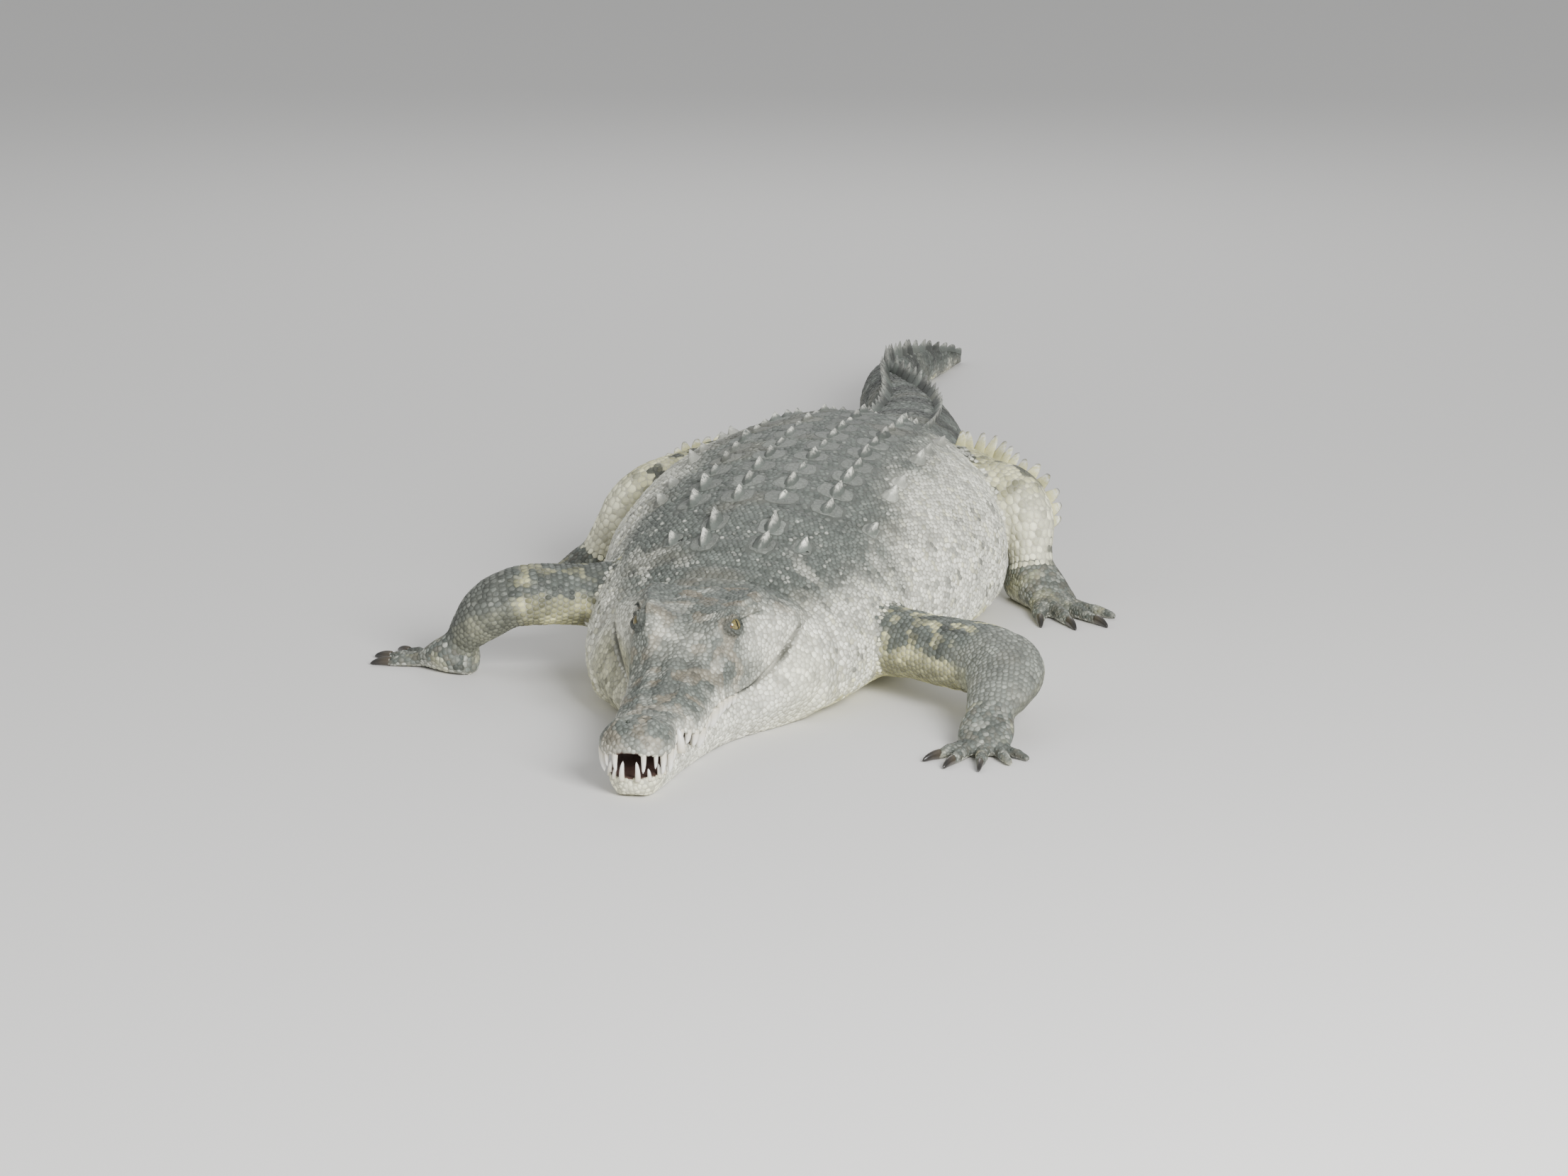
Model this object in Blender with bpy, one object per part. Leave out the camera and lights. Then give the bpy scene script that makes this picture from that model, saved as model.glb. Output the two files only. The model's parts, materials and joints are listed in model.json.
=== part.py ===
"""A saltwater crocodile resting on its belly, life size, as a still museum model.

Metres, +Z up. The snout points towards -Y and the animal's left side is at +X. Every soft part is
lofted: the body from sections set along one bent line, the head and the lower jaw from the lines that
a sculptor would draw on them, and the limbs as tubes through their joints. Each named part is one
closed solid, and neighbours keep a thin parting gap.
"""

import math

import bmesh
import bpy
import numpy as np
from mathutils import Matrix, Vector

# ---- Driving dimensions ------------------------------------------------------------------------
HEAD_LENGTH = 0.535  # snout tip to the back of the skull, where the neck starts
NECK_END = 0.83
SCUTE_PITCH = 0.068  # one cross row of back scutes
CHEST_ROWS = 6
HIP_ROWS = 9
CHEST_END = NECK_END + CHEST_ROWS * SCUTE_PITCH
TRUNK_END = CHEST_END + HIP_ROWS * SCUTE_PITCH
WHORL_PITCH = 0.054  # one ring of tail scales
TAIL_WHORLS = 36
TOTAL_LENGTH = TRUNK_END + TAIL_WHORLS * WHORL_PITCH
PARTING = 0.0008  # gap between neighbouring solids
EYE_RADIUS = 0.0185
EYE_CENTRE = (0.0660, 0.374, 0.1830)  # left eye
FLOOR_SINK = 0.006  # how far the round tail is pressed into the floor, which gives it its flat
BODY_SIDES = 20
NECK_RINGS, CHEST_RINGS, HIP_RINGS = 5, 6, 8
TAIL_LENGTHS = (  # name, first ring of scales, last, sections, sides
    ("tail_root", 0, 12, 6, 16),
    ("tail_middle", 12, 24, 6, 14),
    ("tail_end", 24, 36, 7, 10),
)

# ---- Bends of the body's line in plan: (start, end, degrees towards the animal's left) -----------
BENDS = (
    (0.52, 0.85, 2.0),
    (0.95, 1.75, -3.0),
    (1.85, 2.70, -17.0),
    (2.60, 3.75, 26.0),
)

# ---- Body sections: along, half width, height of back, height of the widest line -----------------
BODY_SECTIONS = (
    (0.535, 0.196, 0.206, 0.068),
    (0.590, 0.219, 0.221, 0.076),
    (0.700, 0.243, 0.252, 0.088),
    (0.850, 0.272, 0.288, 0.100),
    (1.050, 0.312, 0.318, 0.114),
    (1.250, 0.328, 0.330, 0.120),
    (1.450, 0.286, 0.322, 0.122),
    (1.620, 0.236, 0.286, 0.122),
    (1.750, 0.192, 0.252, 0.118),
    (1.900, 0.158, 0.226, 0.110),
    (2.100, 0.126, 0.208, 0.100),
    (2.400, 0.095, 0.184, 0.088),
    (2.700, 0.070, 0.160, 0.076),
    (3.000, 0.049, 0.132, 0.063),
    (3.300, 0.032, 0.100, 0.048),
    (3.600, 0.017, 0.064, 0.031),
    (3.794, 0.006, 0.026, 0.014),
)
# How square the flanks are under the widest line: 2 is an ellipse.
BELLY_SQUARENESS = ((0.535, 3.2), (1.25, 3.6), (1.75, 3.0), (2.1, 2.4), (3.794, 2.0))

# ---- Lines of the head, each (along, out from the middle, height) --------------------------------
LIP = (
    (0.000, 0.016, 0.066),
    (0.010, 0.033, 0.064),
    (0.028, 0.047, 0.062),
    (0.055, 0.055, 0.062),
    (0.085, 0.052, 0.066),
    (0.115, 0.045, 0.074),
    (0.150, 0.056, 0.066),
    (0.190, 0.067, 0.058),
    (0.235, 0.066, 0.067),
    (0.280, 0.071, 0.078),
    (0.330, 0.081, 0.078),
    (0.380, 0.096, 0.082),
    (0.430, 0.115, 0.100),
    (0.475, 0.135, 0.132),
    (0.515, 0.150, 0.156),
    (0.535, 0.155, 0.160),
)
CHEEK = (
    (0.000, 0.020, 0.076),
    (0.028, 0.048, 0.084),
    (0.055, 0.055, 0.088),
    (0.115, 0.044, 0.092),
    (0.190, 0.063, 0.090),
    (0.280, 0.070, 0.105),
    (0.330, 0.079, 0.120),
    (0.374, 0.092, 0.146),
    (0.430, 0.114, 0.160),
    (0.500, 0.142, 0.180),
    (0.535, 0.150, 0.182),
)
BROW = (
    (0.000, 0.014, 0.087),
    (0.025, 0.030, 0.106),
    (0.050, 0.034, 0.112),
    (0.090, 0.028, 0.104),
    (0.130, 0.029, 0.104),
    (0.200, 0.036, 0.112),
    (0.280, 0.042, 0.130),
    (0.330, 0.053, 0.160),
    (0.358, 0.062, 0.204),
    (0.385, 0.066, 0.214),
    (0.415, 0.072, 0.210),
    (0.450, 0.082, 0.212),
    (0.500, 0.088, 0.214),
    (0.535, 0.090, 0.206),
)
CROWN = (
    (0.000, 0.0, 0.089),
    (0.020, 0.0, 0.107),
    (0.042, 0.0, 0.116),
    (0.065, 0.0, 0.116),
    (0.090, 0.0, 0.106),
    (0.130, 0.0, 0.107),
    (0.200, 0.0, 0.119),
    (0.260, 0.0, 0.136),
    (0.310, 0.0, 0.150),
    (0.350, 0.0, 0.172),
    (0.380, 0.0, 0.187),
    (0.420, 0.0, 0.203),
    (0.500, 0.0, 0.211),
    (0.535, 0.0, 0.206),
)
# Lower jaw: how far it hangs open under the lip, its widest line, and its flat underside.
GAPE = (
    (0.0, 0.029), (0.05, 0.025), (0.115, 0.016), (0.19, 0.009), (0.30, 0.005), (0.515, PARTING),
    (0.535, PARTING),
)
JAW_FRONT = 0.012  # the snout overhangs the chin by this much
JAW_LIP_SHARE = (
    (0.012, 0.45), (0.030, 0.76), (0.08, 0.82), (0.112, 1.13), (0.145, 0.82), (0.35, 0.82),
    (0.44, 1.0), (0.535, 1.0),
)
JOWL = (
    (0.012, 0.018, 0.024),
    (0.030, 0.036, 0.019),
    (0.060, 0.042, 0.020),
    (0.112, 0.046, 0.024),
    (0.190, 0.053, 0.027),
    (0.280, 0.062, 0.032),
    (0.350, 0.086, 0.040),
    (0.430, 0.140, 0.052),
    (0.480, 0.170, 0.060),
    (0.535, 0.196, 0.068),
)
JAW_UNDERSIDE = (
    (0.012, 0.010, 0.010),
    (0.024, 0.020, 0.002),
    (0.036, 0.026, 0.000),
    (0.200, 0.040, 0.000),
    (0.350, 0.064, 0.000),
    (0.450, 0.108, 0.000),
    (0.535, 0.158, 0.000),
)

# ---- Limbs: joints from the body outwards, as (X, Y, Z). The heading is the way the foot points,
# in degrees from straight ahead towards the animal's left.
FORE_LIMBS = {
    "left": {
        "root": (0.16, 0.79, 0.086), "bend": (0.474, 0.600, 0.090), "end": (0.460, 0.445, 0.044),
        "girth": 1.1, "heading": 4.0,
    },
    "right": {
        "root": (-0.16, 0.80, 0.128), "bend": (-0.385, 0.700, 0.142),
        "end": (-0.472, 0.735, 0.046), "girth": 0.74, "heading": -128.0,
    },
}
HIND_LIMBS = {
    "left": {
        "root": (0.06, 1.64, 0.140), "bend": (0.336, 1.480, 0.190), "end": (0.362, 1.436, 0.058),
        "girth": 1.0, "heading": 36.0,
    },
    "right": {
        "root": (-0.07, 1.64, 0.140), "bend": (-0.308, 1.385, 0.194),
        "end": (-0.400, 1.400, 0.058), "girth": 1.0, "heading": -52.0,
    },
}
# Radii along a limb: share of the way from root to end, across the limb, and along its plane.
ARM_RADII = (
    (0.0, 0.066, 0.074), (0.35, 0.054, 0.055), (0.55, 0.054, 0.060), (0.74, 0.050, 0.060),
    (0.88, 0.038, 0.048), (1.0, 0.028, 0.034),
)
LEG_RADII = (
    (0.0, 0.104, 0.096), (0.42, 0.082, 0.080), (0.62, 0.055, 0.053), (0.75, 0.050, 0.053),
    (0.92, 0.038, 0.044), (1.0, 0.036, 0.040),
)
ELBOW_SHARE = 0.60
KNEE_SHARE = 0.62
# Palm and sole: forward from the wrist or ankle, half width, height of its top.
PALM = (
    (-0.050, 0.034, 0.066), (-0.032, 0.049, 0.084), (0.0, 0.050, 0.087), (0.030, 0.045, 0.066),
    (0.060, 0.042, 0.040), (0.082, 0.034, 0.024),
)
SOLE = (
    (-0.058, 0.024, 0.050), (-0.042, 0.040, 0.078), (0.0, 0.049, 0.100), (0.040, 0.048, 0.082),
    (0.075, 0.047, 0.050), (0.105, 0.040, 0.030),
)
# Digits from the inner side out: spread in degrees, start to one side, length, radius at the root.
FINGERS = (
    (42.0, 0.024, 0.066, 0.0125), (19.0, 0.014, 0.086, 0.0125), (-2.0, 0.000, 0.092, 0.0120),
    (-24.0, -0.014, 0.082, 0.0105), (-48.0, -0.024, 0.066, 0.0095),
)
TOES = (
    (24.0, 0.026, 0.090, 0.0145), (7.0, 0.010, 0.122, 0.0145), (-8.0, -0.008, 0.128, 0.0135),
    (-25.0, -0.024, 0.112, 0.0120),
)
CLAWED_DIGITS = 3
DIGIT_SIDES = 5
CLAW_LENGTH = 0.030
WEB_THICKNESS = 0.004
WEB_UNDERSIDE = 0.002
FRINGE_SHARES = (0.49, 0.555, 0.675, 0.74, 0.805, 0.87)  # places of the leg fringe along the leg
FRINGE_LENGTH = 0.042

# ---- Teeth: along the jaw, length below the lip, radius at the root ------------------------------
UPPER_TEETH = (
    (0.004, 0.022, 0.0040), (0.014, 0.019, 0.0038), (0.028, 0.028, 0.0054), (0.047, 0.031, 0.0062),
    (0.067, 0.020, 0.0044), (0.100, 0.014, 0.0036), (0.133, 0.016, 0.0040), (0.151, 0.020, 0.0050),
    (0.170, 0.024, 0.0058), (0.192, 0.029, 0.0072), (0.214, 0.022, 0.0056), (0.235, 0.018, 0.0048),
    (0.257, 0.016, 0.0046), (0.280, 0.017, 0.0046), (0.303, 0.017, 0.0048),
)
LOWER_TEETH = (
    (0.008, 0.024, 0.0046), (0.026, 0.014, 0.0036), (0.076, 0.014, 0.0040), (0.112, 0.030, 0.0068),
)

COLOURS = {
    "hide": (0.28, 0.29, 0.25),
    "pale_hide": (0.52, 0.54, 0.44),
    "eye": (0.42, 0.34, 0.12),
    "claw": (0.10, 0.09, 0.08),
}


# ---- Interpolation ------------------------------------------------------------------------------
def smooth_through(points, places):
    """A curve through (place, value) points that never overshoots them, read at the given places."""
    x, y = np.array(points, float).T
    step = np.diff(x)
    slope = np.diff(y) / step
    tangent = np.zeros(len(x))
    tangent[0], tangent[-1] = slope[0], slope[-1]
    for i in range(1, len(x) - 1):
        if slope[i - 1] * slope[i] > 0:
            before, after = 2 * step[i] + step[i - 1], step[i] + 2 * step[i - 1]
            tangent[i] = (before + after) / (before / slope[i - 1] + after / slope[i])
    places = np.clip(np.asarray(places, float), x[0], x[-1])
    i = np.clip(np.searchsorted(x, places, side="right") - 1, 0, len(step) - 1)
    t = (places - x[i]) / step[i]
    return (
        y[i] * (1 + 2 * t) * (1 - t) ** 2
        + tangent[i] * step[i] * t * (1 - t) ** 2
        + y[i + 1] * t * t * (3 - 2 * t)
        + tangent[i + 1] * step[i] * t * t * (t - 1)
    )


def line_at(line, along):
    """(out, height) of one of the head's lines."""
    out = smooth_through([(p[0], p[1]) for p in line], along)
    height = smooth_through([(p[0], p[2]) for p in line], along)
    return float(out), float(height)


def body_column(column, along):
    return smooth_through([(row[0], row[column]) for row in BODY_SECTIONS], along)


# ---- The body's line in plan --------------------------------------------------------------------
STEPS = np.linspace(0.0, TOTAL_LENGTH, 761)


def turn_at(along):
    """How far the body's line has turned, in radians, at a distance from the snout tip."""
    total = np.zeros_like(along)
    for start, end, degrees in BENDS:
        share = np.clip((along - start) / (end - start), 0.0, 1.0)
        total = total + math.radians(degrees) * share * share * (3 - 2 * share)
    return total


TURNS = turn_at(STEPS)
LINE_X = np.concatenate([[0.0], np.cumsum(np.sin(TURNS[:-1]) * np.diff(STEPS))])
LINE_Y = np.concatenate([[0.0], np.cumsum(np.cos(TURNS[:-1]) * np.diff(STEPS))])


def on_body(along, out, height):
    """World point at a distance along the body, out to the animal's left, at a height."""
    turn = float(np.interp(along, STEPS, TURNS))
    x = float(np.interp(along, STEPS, LINE_X)) + out * math.cos(turn)
    y = float(np.interp(along, STEPS, LINE_Y)) - out * math.sin(turn)
    return Vector((x, y, height))


def body_skin(along, angle):
    """Point of the body's skin: angle 0 is the left flank, a quarter turn is the middle of the back."""
    half, back, widest = (float(body_column(column, along)) for column in (1, 2, 3))
    across, up = math.cos(angle), math.sin(angle)
    if up >= 0:
        return on_body(along, half * across, widest + (back - widest) * up)
    power = 2.0 / float(smooth_through(BELLY_SQUARENESS, along))
    out = half * math.copysign(abs(across) ** power, across)
    return on_body(along, out, max(0.0, widest - (widest + FLOOR_SINK) * abs(up) ** power))


# ---- Meshes -------------------------------------------------------------------------------------
def paint(name):
    material = bpy.data.materials.get(name)
    if material is None:
        material = bpy.data.materials.new(name)
        material.use_nodes = True
        shader = material.node_tree.nodes["Principled BSDF"]
        shader.inputs["Base Color"].default_value = (*COLOURS[name], 1.0)
        shader.inputs["Roughness"].default_value = 0.25 if name == "eye" else 0.6
        shader.inputs["Metallic"].default_value = 0.0
    return material


def make_object(name, mesh_data, material):
    """Recalculates the normals of a closed shape and links it as a named object."""
    bmesh.ops.remove_doubles(mesh_data, verts=mesh_data.verts, dist=1e-6)
    bmesh.ops.recalc_face_normals(mesh_data, faces=mesh_data.faces)
    mesh = bpy.data.meshes.new(name)
    mesh_data.to_mesh(mesh)
    mesh_data.free()
    mesh.materials.append(paint(material))
    mesh.shade_smooth()
    obj = bpy.data.objects.new(name, mesh)
    bpy.context.scene.collection.objects.link(obj)
    return obj


def add_loft(shape, rings):
    """Adds a closed body through rings of points: quads between rings, and a face on each end."""
    made = [[shape.verts.new(p) for p in ring] for ring in rings]
    for first, second in zip(made, made[1:]):
        for i in range(len(first)):
            j = (i + 1) % len(first)
            shape.faces.new((first[i], first[j], second[j], second[i]))
    shape.faces.new(list(reversed(made[0])))
    shape.faces.new(made[-1])


def loft(name, rings, material="hide"):
    shape = bmesh.new()
    add_loft(shape, rings)
    return make_object(name, shape, material)


def combine(obj, helper, operation):
    """Joins a helper to an object, or cuts it away, and keeps the helper out of the model."""
    helper.hide_render = True
    helper.display_type = "WIRE"
    modifier = obj.modifiers.new(helper.name, "BOOLEAN")
    modifier.operation = operation
    modifier.object = helper


# ---- Body ---------------------------------------------------------------------------------------
def body_rings(start, end, count, sides):
    angles = [2 * math.pi * (i + 0.5) / sides for i in range(sides)]
    return [
        [body_skin(along, angle) for angle in angles]
        for along in np.linspace(start + PARTING / 2, end - PARTING / 2, count)
    ]


def keel(shape, along, angle, length, width, height, sink=0.012):
    """One keeled scute: a ridge that climbs backwards and drops at its rear edge."""
    front, rear = along + 0.1 * length, along + 0.95 * length
    here = body_skin(along + 0.5 * length, angle)
    ahead = body_skin(rear, angle) - body_skin(front, angle)
    beside = body_skin(along + 0.5 * length, angle - 0.02) - body_skin(along + 0.5 * length, angle + 0.02)
    outward = ahead.cross(beside).normalized()
    if outward.z < 0:
        outward = -outward
    side = beside.normalized() * (width / 2)
    run = ahead.normalized() * (length / 2)
    low = here - outward * sink
    base = [low - run * 0.9 - side, low - run * 0.9 + side, low + run * 0.9 + side, low + run * 0.9 - side]
    ridge = [here - run * 0.55 + outward * height * 0.25, here + run * 0.75 + outward * height]
    corners = [shape.verts.new(p) for p in base + ridge]
    a, b, c, d, e, f = corners
    for face in ((a, b, c, d), (a, e, b), (b, e, f, c), (c, f, d), (d, f, e, a)):
        shape.faces.new(face)


def angle_beside(along, out):
    """Angle of the point on the upper skin that lies this far out from the middle."""
    half = float(body_column(1, along))
    return math.acos(max(-0.95, min(0.95, out / half)))


def back_keels(start, rows):
    """Four regular rows of keeled scutes down the back, and a broken, spiky row along each side."""
    shape = bmesh.new()
    for row in range(rows):
        along = start + row * SCUTE_PITCH
        share = (along - NECK_END) / (TRUNK_END - NECK_END)
        narrowing = 1.0 - 0.45 * max(0.0, share - 0.55) / 0.45
        for side in (-1, 1):
            keel(shape, along, angle_beside(along, side * 0.037 * narrowing), 0.052, 0.022, 0.012)
            keel(shape, along, angle_beside(along, side * 0.112 * narrowing), 0.052, 0.022, 0.017)
            whole = round((along - NECK_END) / SCUTE_PITCH)
            if share < 0.62 and whole % 3 != (0 if side < 0 else 1):
                keel(shape, along, angle_beside(along, side * 0.185 * narrowing), 0.046, 0.022, 0.020)
    return make_object("keels", shape, "hide")


def nuchal_keels():
    """The six large shields on the nape: two pairs in the middle and one smaller on each side."""
    shape = bmesh.new()
    for side in (-1, 1):
        for along in (0.690, 0.755):
            keel(shape, along, angle_beside(along, side * 0.048), 0.060, 0.030, 0.022)
        keel(shape, 0.715, angle_beside(0.715, side * 0.108), 0.050, 0.026, 0.017)
    return make_object("nape keels", shape, "hide")


def crest_height(whorl):
    """The tail's upright scutes are tallest about where the two rows become one."""
    return float(smooth_through(((0, 0.026), (8, 0.042), (17, 0.056), (24, 0.050), (35, 0.016)), whorl))


def tail_crest(first, last):
    """Two rows of upright scutes that meet at the eighteenth ring, then a single row."""
    shape = bmesh.new()
    for whorl in range(first, last):
        along = TRUNK_END + whorl * WHORL_PITCH
        spread = float(smooth_through(((0, 0.074), (9, 0.046), (17, 0.011)), whorl))
        places = (-spread, spread) if whorl < 18 else (0.0,)
        for out in places:
            keel(shape, along, angle_beside(along, out), 0.050, 0.013, crest_height(whorl), sink=0.010)
    return make_object("crest", shape, "hide")


def build_body():
    neck = loft("neck", body_rings(HEAD_LENGTH, NECK_END, NECK_RINGS, BODY_SIDES))
    combine(neck, nuchal_keels(), "UNION")
    chest = loft("chest", body_rings(NECK_END, CHEST_END, CHEST_RINGS, BODY_SIDES))
    combine(chest, back_keels(NECK_END, CHEST_ROWS), "UNION")
    rump = loft("belly_and_hips", body_rings(CHEST_END, TRUNK_END, HIP_RINGS, BODY_SIDES))
    combine(rump, back_keels(CHEST_END, HIP_ROWS), "UNION")
    for name, first, last, count, sides in TAIL_LENGTHS:
        start, end = TRUNK_END + first * WHORL_PITCH, TRUNK_END + last * WHORL_PITCH
        length = loft(name, body_rings(start, end, count, sides))
        combine(length, tail_crest(first, last), "UNION")


# ---- Head ---------------------------------------------------------------------------------------
def curve_points(controls, per_span):
    """Points of a smooth curve through the controls, ends included."""
    ends = [2 * controls[0] - controls[1], *controls, 2 * controls[-1] - controls[-2]]
    points = []
    for i in range(1, len(ends) - 2):
        for step in range(per_span):
            t = step / per_span
            a, b, c, d = ends[i - 1 : i + 3]
            square, cube = 2 * a - 5 * b + 4 * c - d, 3 * b - a - 3 * c + d
            points.append(0.5 * (2 * b + (c - a) * t + square * t * t + cube * t**3))
    return [*points, controls[-1]]


def mirrored_ring(half, along):
    """A closed ring from half a section of (out, height) points, middle to middle."""
    left = [Vector((p[0], along, p[1])) for p in half]
    right = [Vector((-p[0], along, p[1])) for p in reversed(half[1:-1])]
    return left + right


def upper_section(along):
    lip, cheek, brow, crown = (np.array(line_at(line, along)) for line in (LIP, CHEEK, BROW, CROWN))
    palate = [np.array((0.0, lip[1] + 0.004)), np.array((0.72 * lip[0], lip[1] + 0.004))]
    side = curve_points([lip, cheek, brow], 2)
    top = [0.5 * (brow + crown) + np.array((0.0, 0.12 * (crown[1] - brow[1]))), crown]
    return palate + side + top


def lower_section(along):
    lip = np.array(line_at(LIP, along))
    gape = float(smooth_through(GAPE, along))
    lip = lip * np.array((float(smooth_through(JAW_LIP_SHARE, along)), 1.0)) - np.array((0.0, gape))
    jowl = np.array(line_at(JOWL, along))
    under = np.array(line_at(JAW_UNDERSIDE, along))
    side = curve_points([lip, jowl, under], 2)
    floor_of_mouth = [np.array((0.0, lip[1] - 0.003)), np.array((0.7 * lip[0], lip[1] - 0.003))]
    return [*floor_of_mouth, *side, np.array((0.0, under[1]))]


def head_stations(count):
    """Stations that crowd towards the rounded tip of the snout."""
    shares = np.linspace(0.0, 1.0, count)
    return (0.35 * shares**2 + 0.65 * shares) * (HEAD_LENGTH - PARTING)


def cone(shape, root, tip, radius, sides=4):
    """A blunt cone from its root to its tip."""
    axis = (tip - root).normalized()
    side = axis.orthogonal().normalized()
    other = axis.cross(side)
    rings = []
    for share, size in ((0.0, 1.1), (1.0, 0.30)):
        centre = root.lerp(tip, share)
        turns = [2 * math.pi * i / sides for i in range(sides)]
        rings.append([centre + (side * math.cos(a) + other * math.sin(a)) * radius * size for a in turns])
    add_loft(shape, rings)


def tooth_row(name, teeth, upper):
    shape = bmesh.new()
    for along, length, radius in teeth:
        out, height = line_at(LIP, along)
        if not upper:
            out *= float(smooth_through(JAW_LIP_SHARE, along))
            height -= float(smooth_through(GAPE, along))
        outset = -0.1 * radius if upper else 0.4 * radius if radius > 0.006 else 0.0
        for side in (-1, 1):
            lean = 0.10 if upper else 0.06
            start = Vector((side * (out + outset), along + (0.003 if upper else 0.0), height))
            way = Vector((side * lean, -0.05, -1.0 if upper else 1.0)).normalized()
            cone(shape, start - way * 0.010, start + way * length, radius)
    return make_object(name, shape, "hide")


def eyeball(name, side, radius, material):
    shape = bmesh.new()
    bmesh.ops.create_uvsphere(shape, u_segments=10, v_segments=7, radius=radius)
    bmesh.ops.translate(shape, verts=shape.verts, vec=(side * EYE_CENTRE[0], EYE_CENTRE[1], EYE_CENTRE[2]))
    return make_object(name, shape, material)


def build_head():
    stations = head_stations(21)
    head = loft("head", [mirrored_ring(upper_section(along), along) for along in stations])
    combine(head, tooth_row("upper teeth", UPPER_TEETH, True), "UNION")
    for side, name in ((1, "left"), (-1, "right")):
        combine(head, eyeball(f"{name} socket", side, EYE_RADIUS + PARTING / 2, "hide"), "DIFFERENCE")
        eyeball(f"eye_{name}", side, EYE_RADIUS, "eye")
    jaw_stations = [JAW_FRONT, *(along for along in stations if along > JAW_FRONT + 0.004)]
    jaw_rings = [mirrored_ring(lower_section(along), along) for along in jaw_stations]
    jaw = loft("lower_jaw", jaw_rings, "pale_hide")
    combine(jaw, tooth_row("lower teeth", LOWER_TEETH, False), "UNION")


# ---- Limbs --------------------------------------------------------------------------------------
def limb_path(joints, shares):
    """Points and directions along a limb whose bend is rounded."""
    root, bend, end = (Vector(joints[key]) for key in ("root", "bend", "end"))
    upper, lower = (bend - root).length, (end - bend).length
    round_off = 0.49 * min(upper, lower)
    before = bend + (root - bend).normalized() * round_off
    after = bend + (end - bend).normalized() * round_off
    path = [root.lerp(before, i / 8) for i in range(8)]
    path += [before.lerp(bend, t / 8).lerp(bend.lerp(after, t / 8), t / 8) for t in range(8)]
    path += [after.lerp(end, i / 8) for i in range(9)]
    lengths = np.concatenate([[0.0], np.cumsum([(b - a).length for a, b in zip(path, path[1:])])])
    lengths /= lengths[-1]

    def place(share):
        return Vector([np.interp(share, lengths, [point[i] for point in path]) for i in range(3)])

    step = 0.01
    points = [place(share) for share in shares]
    ahead = [(place(share + step) - place(share - step)).normalized() for share in shares]
    return points, ahead, (bend - root).cross(end - bend).normalized()


def limb_rings(joints, radii, start, end, count, sides=12):
    shares = np.linspace(start, end, count)
    points, ahead, normal = limb_path(joints, shares)
    points[0] = points[0] + ahead[0] * PARTING / 2
    points[-1] = points[-1] - ahead[-1] * PARTING / 2
    rings = []
    for share, point, way in zip(shares, points, ahead):
        across = float(smooth_through([(r[0], r[1]) for r in radii], share))
        flat = float(smooth_through([(r[0], r[2]) for r in radii], share))
        flat *= 1.0 + (joints["girth"] - 1.0) * min(1.0, share / ELBOW_SHARE)
        beside = way.cross(normal).normalized()
        turns = [2 * math.pi * (i + 0.5) / sides for i in range(sides)]
        rings.append([point + normal * across * math.sin(a) + beside * flat * math.cos(a) for a in turns])
    return rings


def floor_cutter():
    """A block under the floor that gives the hands and feet their flat soles."""
    shape = bmesh.new()
    bmesh.ops.create_cube(shape, size=1.0)
    bmesh.ops.scale(shape, vec=(3.0, 4.0, 0.2), verts=shape.verts)
    bmesh.ops.translate(shape, vec=(0.0, 1.0, -0.1), verts=shape.verts)
    return make_object("floor shape", shape, "hide")


def trunk_cutter():
    """The trunk, a little larger all round, that shapes the inner end of every limb."""
    rings = body_rings(HEAD_LENGTH, NECK_END, NECK_RINGS, BODY_SIDES)
    rings += body_rings(NECK_END, CHEST_END, CHEST_RINGS, BODY_SIDES)[1:]
    rings += body_rings(CHEST_END, TRUNK_END, HIP_RINGS, BODY_SIDES)[1:]
    rings += body_rings(TRUNK_END + 0.1, TRUNK_END + 0.2, 2, BODY_SIDES)
    grown = []
    for ring in rings:
        middle = sum(ring, Vector()) / len(ring)
        grown.append([p + (p - middle).normalized() * 1.4 * PARTING for p in ring])
    return loft("trunk shape", grown)


def digit_frame(joints, side, spread):
    angle = math.radians(joints["heading"] - side * spread)
    return Vector((math.sin(angle), -math.cos(angle), 0.0))


def foot_pad(joints, outline, grown=0.0, sides=8):
    """The palm or sole: flat below, domed above, running forward from the wrist or ankle."""
    ahead = digit_frame(joints, 1, 0.0)
    beside = Vector((-ahead.y, ahead.x, 0.0))
    end = Vector(joints["end"])
    rings = []
    for forward, half, top in outline:
        ring = []
        for i in range(sides):
            turn = 2 * math.pi * (i + 0.5) / sides
            height = grown + top * 0.44 + math.sin(turn) * (top * 0.56 + grown)
            point = end + ahead * (forward + math.copysign(grown, forward))
            point += beside * (half + grown) * math.cos(turn)
            ring.append(Vector((point.x, point.y, height)))
        rings.append(ring)
    return rings


def digit_rings(joints, side, digit, reach):
    """One finger or toe, resting on the floor along its whole length."""
    spread, aside, length, radius = digit
    ahead = digit_frame(joints, side, spread)
    middle = digit_frame(joints, side, 0.0)
    beside = Vector((-ahead.y, ahead.x, 0.0))
    inner = Vector((middle.y, -middle.x, 0.0)) * side
    base = Vector(joints["end"]) + middle * reach + inner * aside
    rings = []
    for share, size in ((0.0, 1.0), (0.7, 0.88), (1.0, 0.55)):
        ring = []
        for i in range(DIGIT_SIDES):
            turn = 2 * math.pi * (i + 0.5) / DIGIT_SIDES
            height = radius * (0.72 * size + size * math.sin(turn)) + 0.004 * (1 - share)
            point = base + ahead * length * share + beside * radius * size * math.cos(turn)
            ring.append(Vector((point.x, point.y, height)))
        rings.append(ring)
    return rings


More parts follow.
